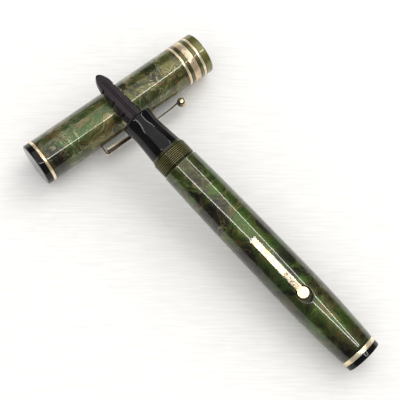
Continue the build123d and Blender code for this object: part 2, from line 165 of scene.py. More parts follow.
# ---- surfaces ------------------------------------------------------------------------------------
def rounded(corners: Sequence[tuple[float, float, float]], steps: int = 5) -> Array:
    """Polyline with its corners rounded by quadratic curves.

    Each corner P with rounding r becomes the curve (1-t)^2 A + 2 t (1-t) P + t^2 B, where A and B lie
    r before and after P on its two sides.

    Args:
        corners: (station, radius, rounding) of each corner, in millimetres.
        steps: Samples on each rounding.

    Returns:
        Array of (station, radius) rows.
    """
    points = np.array([corner[:2] for corner in corners], float)
    out = []
    for index, (_, _, rounding) in enumerate(corners):
        here = points[index]
        if rounding <= 0 or index in (0, len(corners) - 1):
            out.append(here[None])
            continue
        before, after = points[index - 1] - here, points[index + 1] - here
        start = here + before / np.linalg.norm(before) * rounding
        end = here + after / np.linalg.norm(after) * rounding
        t = np.linspace(0, 1, steps)[:, None]
        out.append((1 - t) ** 2 * start + 2 * t * (1 - t) * here + t ** 2 * end)
    return join(out)


def refined(profile: Array, pitch: float) -> Array:
    """A profile with extra points so that no step is longer than pitch.

    Args:
        profile: (station, radius) rows.
        pitch: Longest step, in millimetres.

    Returns:
        The profile with points added on its straight runs.
    """
    out = [profile[:1]]
    for start, end in zip(profile[:-1], profile[1:]):
        count = max(1, math.ceil(float(np.linalg.norm(end - start)) / pitch))
        out.append(start + (end - start) * (np.arange(1, count + 1) / count)[:, None])
    return join(out)


def quads(rows: int, columns: int) -> tuple[Array, Array, Array]:
    """Cells of a wrapped grid: cell (i, j) joins points (i, j), (i, j+1), (i+1, j+1), (i+1, j).

    Args:
        rows: Rows of points.
        columns: Columns of points, the last of which joins the first.

    Returns:
        Corner indices with a last axis of four, and the cells' rows and columns.
    """
    i, j = np.meshgrid(np.arange(rows - 1), np.arange(columns), indexing="ij")
    here, after = i * columns + j, i * columns + (j + 1) % columns
    return np.stack([here, after, after + columns, here + columns], -1), i, j


@dataclass
class Skin:
    """Grids of points gathered into one mesh, welded where they meet."""

    name: str
    points: list[Array] = field(default_factory=list)
    faces: list[Array] = field(default_factory=list)
    masks: dict[str, list[Array]] = field(default_factory=dict)
    count: int = 0

    def add_points(self, points: Array, **masks: Array) -> int:
        """Adds loose points and their masks.

        Args:
            points: Array (..., 3) in metres.
            masks: Named values per point, broadcast to the points; absent ones are 0.

        Returns:
            Index of the first point.
        """
        first = self.count
        flat = points.reshape(-1, 3)
        for name in set(self.masks) | set(masks):
            held = self.masks.setdefault(name, [np.zeros(self.count)] if self.count else [])
            value = masks.get(name, 0.0)
            held.append(np.broadcast_to(value, points.shape[:-1]).reshape(-1).astype(float))
        self.points.append(flat)
        self.count += len(flat)
        return first

    def add_grid(self, points: Array, **masks: Array) -> None:
        """Adds a grid of quads whose last column joins the first.

        Args:
            points: Array (rows, columns, 3) in metres.
            masks: Named values per point.
        """
        first = self.add_points(points, **masks)
        self.faces.append(quads(*points.shape[:2])[0].reshape(-1, 4) + first)

    def build(self, material: Material, sharp_degrees: float = 32.0) -> Object:
        """Welds the grids, turns faces outwards and makes the object.

        Args:
            material: Finish of the whole piece.
            sharp_degrees: Edges that bend more than this stay crisp.

        Returns:
            The new object, at the origin, with its place in its mesh.
        """
        mesh = bpy.data.meshes.new(self.name)
        faces = join(self.faces)
        mesh.from_pydata(join(self.points).tolist(), [], faces.tolist())
        for name, values in self.masks.items():
            layer = mesh.attributes.new(name, "FLOAT", "POINT")
            layer.data.foreach_set("value", join(values).astype(np.float32))
        work = bmesh.new()
        work.from_mesh(mesh)
        bmesh.ops.delete(work, geom=[v for v in work.verts if not v.link_faces], context="VERTS")
        bmesh.ops.remove_doubles(work, verts=work.verts, dist=2e-6)
        bmesh.ops.dissolve_degenerate(work, dist=1e-6, edges=work.edges)
        bmesh.ops.recalc_face_normals(work, faces=work.faces)
        work.to_mesh(mesh)
        work.free()
        mesh.polygons.foreach_set("use_smooth", np.ones(len(mesh.polygons), bool))
        mesh.set_sharp_from_angle(angle=math.radians(sharp_degrees))
        mesh.materials.append(material)
        piece = bpy.data.objects.new(self.name, mesh)
        bpy.context.scene.collection.objects.link(piece)
        log.info("%s: %d faces", self.name, len(mesh.polygons))
        return piece


def mount(piece: Object, body: str, slot: str, *nodes: str) -> Object:
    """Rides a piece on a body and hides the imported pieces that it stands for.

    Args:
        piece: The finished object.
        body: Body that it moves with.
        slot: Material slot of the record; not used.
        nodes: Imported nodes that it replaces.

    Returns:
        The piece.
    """
    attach(piece, body)
    if nodes:
        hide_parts(*nodes)
    return piece


def turned_piece(name: str, axis: TurnedAxis, profile: Array, around: int = 160) -> Skin:
    """A closed profile carried round an axis.

    Args:
        name: Piece name.
        axis: Its frame.
        profile: Closed outline of (station, radius) rows, first row not repeated.
        around: Columns round the axis.

    Returns:
        The skin, not yet built.
    """
    skin = Skin(name)
    closed = join([profile, profile[:1]])
    angle = np.arange(around) / around * TAU
    skin.add_grid(axis.turn(closed[:, :1], closed[:, 1:], angle[None]))
    return skin


def hoop(name: str, axis: TurnedAxis, start: float, width: float, inner: float, face: float,
         seam: float = 0.035, crown: float = 0.05, around: int = 192) -> Skin:
    """A turned hoop with rounded outer edges and a barely crowned face.

    Args:
        name: Piece name.
        axis: Its frame.
        start: Station of its first face.
        width: Millimetres along the axis.
        inner: Inner radius.
        face: Radius of its outer edges.
        seam: Bare gap at each side.
        crown: Height of the face's middle above its edges.
        around: Columns round the axis.

    Returns:
        The skin, not yet built.
    """
    low, high, edge = start + seam, start + width - seam, 0.12
    outline = rounded([(low, inner, 0.0), (high, inner, 0.0), (high, face, edge),
                       ((low + high) / 2, face + crown, 0.2), (low, face, edge), (low, inner, 0.0)], 6)
    return turned_piece(name, axis, outline[:-1], around)


@dataclass
class WindowedShell:
    """A tube wall on one grid of stations and columns, with windows cut through or sunk into it.

    Each cell has a level: 0 is the outer skin, and each further level is a deeper grid. Walls join
    two levels wherever neighbouring cells differ.
    """

    levels: list[Array]
    level_of: Array
    through: int

    def into(self, skin: Skin, **masks: Array) -> None:
        """Adds the outer levels, the bore, the walls between levels and the end rims.

        Args:
            skin: Skin that takes the faces.
            masks: Named values per outer point, used on every level.
        """
        rows, columns = self.levels[0].shape[:2]
        firsts = [skin.add_points(level, **masks) for level in self.levels]
        cell, i, j = quads(rows, columns)
        for number, first in enumerate(firsts):
            kept = self.level_of != number if number == self.through else self.level_of == number
            skin.faces.append(cell[kept] + first)
        start = np.array(firsts)
        here, left = self.level_of, np.roll(self.level_of, 1, axis=1)
        step = here != left
        low, high = i[step] * columns + j[step], (i[step] + 1) * columns + j[step]
        a, b = start[here[step]], start[left[step]]
        skin.faces.append(np.stack([low + a, high + a, high + b, low + b], -1))
        above, below = self.level_of[1:], self.level_of[:-1]
        step = above != below
        k, m = i[1:][step], j[1:][step]
        one, two = k * columns + m, k * columns + (m + 1) % columns
        a, b = start[above[step]], start[below[step]]
        skin.faces.append(np.stack([one + a, two + a, two + b, one + b], -1))
        ends = np.arange(columns)
        for row in (0, rows - 1):
            one, two = row * columns + ends, row * columns + (ends + 1) % columns
            outer, inner = start[0], start[self.through]
            skin.faces.append(np.stack([one + outer, two + outer, two + inner, one + inner], -1))


# ---- shader effects shared by the finishes -------------------------------------------------------
class Link:
    """A small helper that adds nodes to one tree and wires them."""

    def __init__(self, tree: Tree) -> None:
        """Keeps the tree that nodes go into."""
        self.tree = tree

    def node(self, kind: str, settings: dict | None = None, **inputs: object) -> Node:
        """Adds a node, sets its properties and fills its inputs.

        Args:
            kind: Blender's type name.
            settings: Properties of the node.
            inputs: Input names, with underscores for blanks, to a value or a socket.

        Returns:
            The node.
        """
        made = self.tree.nodes.new(kind)
        for name, value in (settings or {}).items():
            setattr(made, name, value)
        for name, value in inputs.items():
            self.feed(made.inputs[name.replace("_", " ")], value)
        return made

    def feed(self, target: Socket, value: object) -> None:
        """Links a socket to the target, or sets the target's own value."""
        if isinstance(value, Socket):
            self.tree.links.new(value, target)
        else:
            target.default_value = value

    def maths(self, operation: str, first: object, second: object = 0.0, kind: str = "Math") -> Socket:
        """One arithmetic step on two numbers or sockets."""
        made = self.node("ShaderNode" + kind, {"operation": operation})
        self.feed(made.inputs[0], first)
        self.feed(made.inputs[1], second)
        return made.outputs[0]

    def times(self, first: object, second: object) -> Socket:
        """Product of two numbers or sockets."""
        return self.maths("MULTIPLY", first, second)

    def most(self, first: object, second: object) -> Socket:
        """Larger of two numbers or sockets."""
        return self.maths("MAXIMUM", first, second)

    def vector(self, operation: str, first: object, second: object) -> Socket:
        """One arithmetic step on two vectors."""
        return self.maths(operation, first, second, "VectorMath")

    def mix(self, share: object, first: object, second: object) -> Socket:
        """Mixes two colours by a share of 0 to 1."""
        made = self.node("ShaderNodeMix", {"data_type": "RGBA"})
        self.feed(made.inputs[0], share)
        self.feed(made.inputs[6], first)
        self.feed(made.inputs[7], second)
        return made.outputs[2]

    def span(self, value: object, low: float, high: float, to_low: float = 0.0,
             to_high: float = 1.0) -> Socket:
        """Smoothly maps low..high to to_low..to_high."""
        made = self.node("ShaderNodeMapRange", {"interpolation_type": "SMOOTHSTEP"})
        for index, number in enumerate((value, low, high, to_low, to_high)):
            self.feed(made.inputs[index], number)
        return made.outputs[0]

    def noise(self, vector: object, scale: float, detail: float = 2.0, rough: float = 0.5,
              warp: float = 0.0, output: str = "Fac") -> Socket:
        """Output of a noise texture read at a vector."""
        made = self.node("ShaderNodeTexNoise", None, Vector=vector, Scale=scale, Detail=detail,
                         Roughness=rough, Distortion=warp)
        return made.outputs[output]


def shade(color: Color) -> tuple[float, float, float, float]:
    """A display colour of 0 to 255 as the linear colour that shaders take."""
    linear = [((c / 255 + 0.055) / 1.055) ** 2.4 if c > 10 else c / 255 / 12.92 for c in color]
    return (linear[0], linear[1], linear[2], 1.0)


def group_sockets(name: str, inputs: Sequence[tuple[str, str, object]],
                  outputs: Sequence[tuple[str, str]]) -> tuple[Tree, Node, Node]:
    """Makes an empty shader group with its sockets.

    Args:
        name: Group name.
        inputs: (name, socket type, default value) of each input.
        outputs: (name, socket type) of each output.

    Returns:
        The tree, its input node and its output node.
    """
    tree = bpy.data.node_groups.new(name, "ShaderNodeTree")
    for label, kind, value in inputs:
        socket = tree.interface.new_socket(name=label, in_out="INPUT", socket_type=kind)
        if value is not None:
            socket.default_value = value
    for label, kind in outputs:
        tree.interface.new_socket(name=label, in_out="OUTPUT", socket_type=kind)
    return tree, tree.nodes.new("NodeGroupInput"), tree.nodes.new("NodeGroupOutput")


def make_marbling() -> Tree:
    """Group for pearl celluloid: soft pools of colour crossed by feathery pale and dark filaments.

    The coordinate is bent twice, by a slow and by a quick noise. Pools are soft steps of slow noises.
    A filament is where a bent noise passes its middle value, so each follows the swirl around it.

    Returns:
        The group, whose output is Color.
    """
    vec, number, colour = "NodeSocketVector", "NodeSocketFloat", "NodeSocketColor"
    tree, source, sink = group_sockets(
        "pearl_marbling",
        [("Vector", vec, None), ("Deep", colour, None), ("Leaf", colour, None), ("Olive", colour, None),
         ("Bronze", colour, None), ("Cream", colour, None), ("Feather", number, 0.5), ("Shade", number, 0.5)],
        [("Color", colour)])
    link = Link(tree)
    get = source.outputs
    bent = get["Vector"]
    for scale, reach in ((60.0, 0.020), (230.0, 0.0055)):
        drift = link.noise(bent, scale, 2.0, 0.5, output="Color")
        bend = link.vector("SUBTRACT", drift, (0.5, 0.5, 0.5))
        bent = link.vector("ADD", bent, link.vector("MULTIPLY", bend, (reach, reach, reach)))

    def pool(scale: float, shift: float, low: float, high: float, detail: float = 3.0) -> Socket:
        """Soft patches: a smooth step of a noise read at a shifted place."""
        moved = link.vector("ADD", bent, (shift, shift * 0.7, -shift))
        return link.span(link.noise(moved, scale, detail, 0.6), low, high)

    def filament(scale: float, shift: float, width: float, twist: float) -> Socket:
        """Thin bands where a twisted noise crosses its middle."""
        moved = link.vector("MULTIPLY", link.vector("ADD", bent, (shift, -shift, shift)), (0.55, 1.0, 1.0))
        wave = link.noise(moved, scale, 4.0, 0.6, twist)
        return link.span(link.maths("ABSOLUTE", link.maths("SUBTRACT", wave, 0.5)), width, 0.0)

    flow = link.noise(link.vector("MULTIPLY", bent, (0.6, 1.0, 1.0)), 120.0, 1.5, 0.5)
    jitter = link.noise(bent, 900.0, 2.0, 0.5)
    phase = link.maths("ADD", link.times(flow, 120.0), link.times(jitter, 4.0))
    brush = link.span(link.maths("SINE", phase), 0.0, 0.95)
    base = link.mix(pool(105.0, 0.0, 0.40, 0.60), get["Deep"], get["Olive"])
    base = link.mix(link.times(pool(120.0, 0.37, 0.46, 0.58), 0.92), base, get["Leaf"])
    base = link.mix(link.times(pool(260.0, 0.71, 0.56, 0.68), 0.75), base, get["Bronze"])
    fans, broad = pool(135.0, 0.91, 0.46, 0.60), filament(210.0, 0.53, 0.022, 0.5)
    strokes = link.times(brush, fans)
    tips = link.mix(pool(300.0, 0.19, 0.42, 0.60), get["Bronze"], get["Cream"])
    pale = link.times(link.most(strokes, link.times(broad, 0.7)), get["Feather"])
    base = link.mix(pale, base, tips)
    dark = link.most(link.times(filament(330.0, 0.83, 0.03, 0.8), 0.8),
                      pool(150.0, 0.47, 0.54, 0.66))
    base = link.mix(link.times(dark, get["Shade"]), base, get["Deep"])
    link.feed(sink.inputs["Color"], base)
    return tree


def make_wear() -> Tree:
    """Group for handling marks: hairline scratches, smudges and faint waviness.

    Scratches are thin bands where a stretched noise crosses its middle value; smudges are a slow
    noise. Outputs vary over the surface only.

    Returns:
        The group, whose outputs are Rough and Height.
    """
    vec, number = "NodeSocketVector", "NodeSocketFloat"
    tree, source, sink = group_sockets(
        "handling_wear",
        [("Vector", vec, None), ("Base Rough", number, 0.1), ("Smudge", number, 0.08),
         ("Scratch", number, 0.3)],
        [("Rough", number), ("Height", number)])
    link = Link(tree)
    get = source.outputs
    smudge = link.noise(get["Vector"], 260.0, 4.0, 0.6)
    lines = []
    for stretch, scale in (((1.0, 0.03, 0.3), 900.0), ((0.04, 1.0, 0.3), 800.0), ((0.5, 0.5, 0.05), 1100.0)):
        drawn = link.noise(link.vector("MULTIPLY", get["Vector"], stretch), scale, 2.0, 0.5, 0.4)
        off = link.maths("ABSOLUTE", link.maths("SUBTRACT", drawn, 0.5))
        lines.append(link.span(off, 0.012, 0.0))
    hair = link.most(link.most(lines[0], lines[1]), lines[2])
    patch = link.span(link.noise(get["Vector"], 120.0, 2.0), 0.48, 0.62)
    hair = link.times(link.times(hair, patch), get["Scratch"])
    rough = link.maths("ADD", get["Base Rough"], link.times(link.span(smudge, 0.4, 0.75), get["Smudge"]))
    rough = link.maths("ADD", rough, link.times(hair, 0.35))
    wave = link.noise(get["Vector"], 330.0, 1.0, 0.4)
    height = link.maths("SUBTRACT", link.times(wave, 0.5), hair)
    link.feed(sink.inputs["Rough"], rough)
    link.feed(sink.inputs["Height"], height)
    return tree


MARBLING = make_marbling()
WEAR = make_wear()


class Finish:
    """A procedural material that a piece is dressed in."""

    def __init__(self, name: str, axis: TurnedAxis | None = None) -> None:
        """Starts the material with a shader and a coordinate.

        Args:
            name: Material name.
            axis: Frame that the pattern follows; the world's without one.
        """
        self.material = bpy.data.materials.new(name)
        self.material.use_nodes = True
        self.tree = self.material.node_tree
        self.link = Link(self.tree)
        self.shader = self.tree.nodes["Principled BSDF"]
        place = self.tree.nodes.new("ShaderNodeTexCoord").outputs["Object"]
        if axis is not None:
            angles = tuple(axis.matrix().to_euler("XYZ"))
            place = self.link.node("ShaderNodeMapping", None, Vector=place, Rotation=angles).outputs[0]
        self.place, self.axis = place, axis

    def set(self, **values: object) -> None:
        """Sets or links sockets of the shader, names with underscores for blanks."""
        for name, value in values.items():
            self.link.feed(self.shader.inputs[name.replace("_", " ")], value)

    def mask(self, name: str) -> Socket:
        """The value of a mask painted on the mesh."""
        return self.link.node("ShaderNodeAttribute", {"attribute_name": name}).outputs["Fac"]

    def wear(self, rough: float, smudge: float, scratch: float, depth: float) -> None:
        """Feeds roughness and bump from the wear group.

        Args:
            rough: Roughness where nothing has touched.
            smudge: Roughness added by smudges.
            scratch: Strength of hairlines.
            depth: Bump distance, in metres.
        """
        worn = self.link.node("ShaderNodeGroup", {"node_tree": WEAR}, Vector=self.place, Base_Rough=rough,
                              Smudge=smudge, Scratch=scratch)
        bump = self.link.node("ShaderNodeBump", None, Height=worn.outputs["Height"], Strength=0.5,
                              Distance=depth)
        self.set(Roughness=worn.outputs["Rough"], Normal=bump.outputs[0])


@dataclass(frozen=True)
class Recipe:
    """A named finish that is painted in the frame of the piece that wears it."""

    name: str

    def make(self, axis: TurnedAxis) -> Material:
        """Builds the material with its pattern in the axis's frame."""
        finish = Finish(self.name, axis)
        self.paint(finish)
        return finish.material

    def paint(self, finish: Finish) -> None:
        """Fills the shader; each finish has its own."""
        raise NotImplementedError


@dataclass(frozen=True)
class Celluloid(Recipe):
    """Pearl celluloid in five display colours, with ambered zones, painted highlights, painted shade, grime
    and dulled zones.

    Its pearl flakes are small mirrors under a clear skin: a partly metallic, rough base takes the
    light from the window's side and goes dark away from it, and a smooth coat draws the crisp lines.
    """

    deep: Color
    leaf: Color
    olive: Color
    bronze: Color
    cream: Color
    amber: Color
    feather: float = 0.75
    shadow: float = 0.5
    pearl: float = 0.62

    def paint(self, finish: Finish) -> None:
        """Marbling toned by the painted masks, metallic under a clear coat."""
        link = finish.link
        pearl = link.node("ShaderNodeGroup", {"node_tree": MARBLING}, Vector=finish.place,
                          Deep=shade(self.deep), Leaf=shade(self.leaf), Olive=shade(self.olive),
                          Bronze=shade(self.bronze), Cream=shade(self.cream), Feather=self.feather,
                          Shade=self.shadow)
        color = pearl.outputs["Color"]
        # amber tone from its mask; on the barrel the same mask also lays painted highlights on the thread
        # crests and the shoulder
        tint = link.mix(finish.mask("amber"), color, link.mix(0.7, color, shade(self.amber)))
        # painted shade: towards brown black on the side turned from the light
        tint = link.mix(finish.mask("burnt"), tint, link.mix(0.15, shade((20, 13, 4)), color))
        # near black: grime at the cap's seams, and painted shade in the barrel's thread roots and recess
        tint = link.mix(finish.mask("grime"), tint, shade((14, 11, 6)))
        dull = finish.mask("dull")
        finish.set(Base_Color=tint, IOR=1.5, Metallic=self.pearl, Coat_Roughness=0.035, Coat_IOR=1.5,
                   Coat_Weight=link.maths("SUBTRACT", 1.0, link.times(dull, 0.85)))
        finish.wear(0.40, 0.06, 0.10, 0.000003)


@dataclass(frozen=True)
class HardRubber(Recipe):
    """Polished black hard rubber, very slightly browned where it is handled."""

    tint: Color = (13, 13, 15)
    faded: Color = (26, 24, 24)
    rough: float = 0.07

    def paint(self, finish: Finish) -> None:
        """Black that fades in slow patches, near black where grime and shade are painted, grey where a
        reflection is painted.
        """
        link = finish.link
        fade = link.span(link.noise(finish.place, 180.0, 4.0, 0.6), 0.4, 0.7)
        tint = link.mix(fade, shade(self.tint), shade(self.faded))
        # near black: grime and painted shade where masked
        tint = link.mix(finish.mask("grime"), tint, shade((5, 4, 4)))
        # painted reflection of the pale table, as grey
        tint = link.mix(finish.mask("dust"), tint, shade((118, 118, 121)))
        finish.set(Base_Color=tint, IOR=1.58, Specular_IOR_Level=0.22)
        finish.wear(self.rough, 0.05, 0.25, 0.000003)


@dataclass(frozen=True)
class InkedRubber(Recipe):
    """Satin feed rubber with dried purple ink in its channels."""

    name: str = "inked_feed_rubber"

    def paint(self, finish: Finish) -> None:
        """Mottled brown black, with ink, and painted shade in the channels and notches, where painted."""
        link = finish.link
        mottled = link.noise(finish.place, 500.0, 4.0, 0.65)
        tint = link.mix(link.span(mottled, 0.35, 0.7), shade((24, 18, 22)), shade((44, 34, 39)))
        tint = link.mix(finish.mask("ink"), tint, shade((36, 14, 32)))
        # painted shade, near black, in the channels and on the notches' flanks
        tint = link.mix(finish.mask("grime"), tint, shade((8, 4, 8)))
        finish.set(Base_Color=tint, IOR=1.5, Specular_IOR_Level=0.28)
        finish.wear(0.34, 0.12, 0.3, 0.00001)


@dataclass(frozen=True)
class RolledGold(Recipe):
    """Rolled gold with brown tarnish: pale, rosy and worn in slow patches.

    Its satin wear scatters part of the light, so metal stays under 1. worn is a stretch of stations
    where fingers have taken the gold off one side of the lever.
    """

    pale: Color = (250, 238, 206)
    rosy: Color = (232, 208, 168)
    tarnish: Color = (140, 110, 80)
    patches: float = 0.35
    patch_scale: float = 300.0
    rough: float = 0.24
    metal: float = 0.6
    worn: tuple[float, float] | None = None

    def paint(self, finish: Finish) -> None:
        """Pale and rosy patches with tarnish spots, a worn stretch and painted shade."""
        link = finish.link
        slow = link.noise(finish.place, self.patch_scale, 3.0, 0.6)
        spots = link.noise(finish.place, self.patch_scale * 3.4, 4.0, 0.7)
        tint = link.mix(link.span(slow, 0.36, 0.62), shade(self.pale), shade(self.rosy))
        soiled = link.times(link.span(spots, 0.52, 0.70), self.patches)
        tint = link.mix(soiled, tint, shade(self.tarnish))
        if self.worn is not None:
            tint = link.mix(self.rubbed(finish), tint, shade((112, 100, 84)))
        # painted shade, dark brown, on the clip's rims and walls and the ball's side towards the strip
        tint = link.mix(finish.mask("grime"), tint, shade((30, 19, 13)))
        finish.set(Base_Color=tint, Metallic=self.metal)
        finish.wear(self.rough, 0.10, 0.4, 0.000006)

    def rubbed(self, finish: Finish) -> Socket:
        """Share of bared metal: inside the worn stations, on the far side of the lever, in grains."""
        link, axis = finish.link, finish.axis
        parts = link.node("ShaderNodeSeparateXYZ", None, Vector=finish.place)
        start, end = (float(axis.origin @ axis.along) + station * MM for station in self.worn)
        middle = float(axis.origin @ axis.side)
        inside = link.times(link.span(parts.outputs[0], start, start + 0.8 * MM),
                            link.span(parts.outputs[0], end, end - 0.4 * MM))
        low = link.span(parts.outputs[1], middle + 0.62 * MM, middle + 0.42 * MM)
        grains = link.span(link.noise(finish.place, 1400.0, 3.0, 0.6), 0.62, 0.40, 0.45, 1.0)
        return link.times(link.times(inside, low), grains)


@dataclass(frozen=True)
class SpringSteel(Recipe):
    """Bright rolled steel of the hidden filler parts, grained along the pen."""

    name: str = "rolled_spring_steel"

    def paint(self, finish: Finish) -> None:
        """Stretched grain with rust in patches."""
        link = finish.link
        grain = link.noise(link.vector("MULTIPLY", finish.place, (0.05, 1.0, 1.0)), 4000.0, 3.0)
        rust = link.span(link.noise(finish.place, 420.0, 5.0, 0.7), 0.58, 0.72)
        tint = link.mix(grain, shade((150, 150, 152)), shade((205, 205, 204)))
        tint = link.mix(link.times(rust, 0.6), tint, shade((105, 78, 56)))
        finish.set(Base_Color=tint, Metallic=1.0)
        finish.wear(0.28, 0.15, 0.4, 0.00001)


@dataclass(frozen=True)
class Latex(Recipe):
    """Matte black latex with a bloom of fine dust."""

    name: str = "sac_latex"

    def paint(self, finish: Finish) -> None:
        """A mottled bloom."""
        link = finish.link
        bloom = link.span(link.noise(finish.place, 600.0, 5.0, 0.7), 0.4, 0.75)
        finish.set(Base_Color=link.mix(bloom, shade((24, 23, 22)), shade((58, 55, 51))), IOR=1.5)
        finish.wear(0.6, 0.15, 0.2, 0.00003)


# ---- sub-assemblies ------------------------------------------------------------------------------
def split_columns(radius: Array, half_width: Array, inside: int, outside: int, gather: float = 0.0) -> Array:
    """Angles of grid columns that follow a slot's two straight edges.

    Inside the slot the columns are evenly spread across its width, angle = asin(width t / radius) for
    t from -1 to 1. Outside they run round the back; gather pulls them towards the slot.

    Args:
        radius: Radius of each row, in millimetres.
        half_width: Half the slot's width at each row.
        inside: Cells across the slot.
        outside: Cells round the back.
        gather: 0 for even columns, towards 1 for columns close to the slot.

    Returns:
        Array (rows, inside + outside) of radians.
    """
    t = np.linspace(-1, 1, inside + 1)
    within = np.arcsin(np.clip(half_width[:, None] * t / radius[:, None], -1, 1))
    edge = within[:, -1:]
    v = np.arange(1, outside) / outside
    v = v - gather * np.sin(TAU * v) / TAU
    return join([within, edge + (TAU - 2 * edge) * v], axis=1)


def smooth_curve(knots: Array, stations: Array) -> Array:
    """Natural cubic through (station, radius) knots, read at stations.

    Second derivatives M solve the usual tridiagonal system with M = 0 at both ends; between knots the
    curve is the cubic that has those second derivatives.

    Args:
        knots: (station, radius) rows with growing stations.
        stations: Where to read the curve.

    Returns:
        Radii at the stations.
    """
    x, y = knots[:, 0], knots[:, 1]
    h = np.diff(x)
    size = len(x)
    system = np.eye(size)
    rows = np.arange(1, size - 1)
    system[rows, rows - 1], system[rows, rows], system[rows, rows + 1] = h[:-1], 2 * (h[:-1] + h[1:]), h[1:]
    right = np.zeros(size)
    right[1:-1] = 6 * np.diff(np.diff(y) / h)
    bend = np.linalg.solve(system, right)
    k = np.clip(np.searchsorted(x, stations, side="right") - 1, 0, size - 2)
    a, b = x[k + 1] - stations, stations - x[k]
    cubic = (bend[k] * a ** 3 + bend[k + 1] * b ** 3) / (6 * h[k])
    return cubic + (y[k] / h[k] - bend[k] * h[k] / 6) * a + (y[k + 1] / h[k] - bend[k + 1] * h[k] / 6) * b


def screw_thread(station: Array, angle: Array, start: float, turns: float, pitch: float) -> Array:
    """Height, 0 to 1, of a rounded screw thread.

    The phase is station / pitch - angle / turn; a cosine of it, steepened, gives crests and roots,
    and the thread fades in and out over half a pitch.

    Args:
        station: Millimetres along the axis.
        angle: Radians about it.
        start: Station of the first turn.
        turns: Number of turns.
        pitch: Millimetres per turn.

    Returns:
        Height share of each point.
    """
    phase = (station - start) / pitch - angle / TAU
    crest = np.clip((0.5 + 0.5 * np.cos(TAU * phase) - 0.12) / 0.7, 0, 1)
    crest = crest * crest * (3 - 2 * crest)
    end = start + turns * pitch
    fade = np.clip(np.minimum(station - start, end - station) / (0.5 * pitch) + 0.2, 0, 1)
    return crest * fade


def near(value: Array, centre: float, width: float) -> Array:
    """A soft bump, exp(-((value - centre) / width)^2), used to paint masks."""
    return np.exp(-(((value - centre) / width) ** 2))


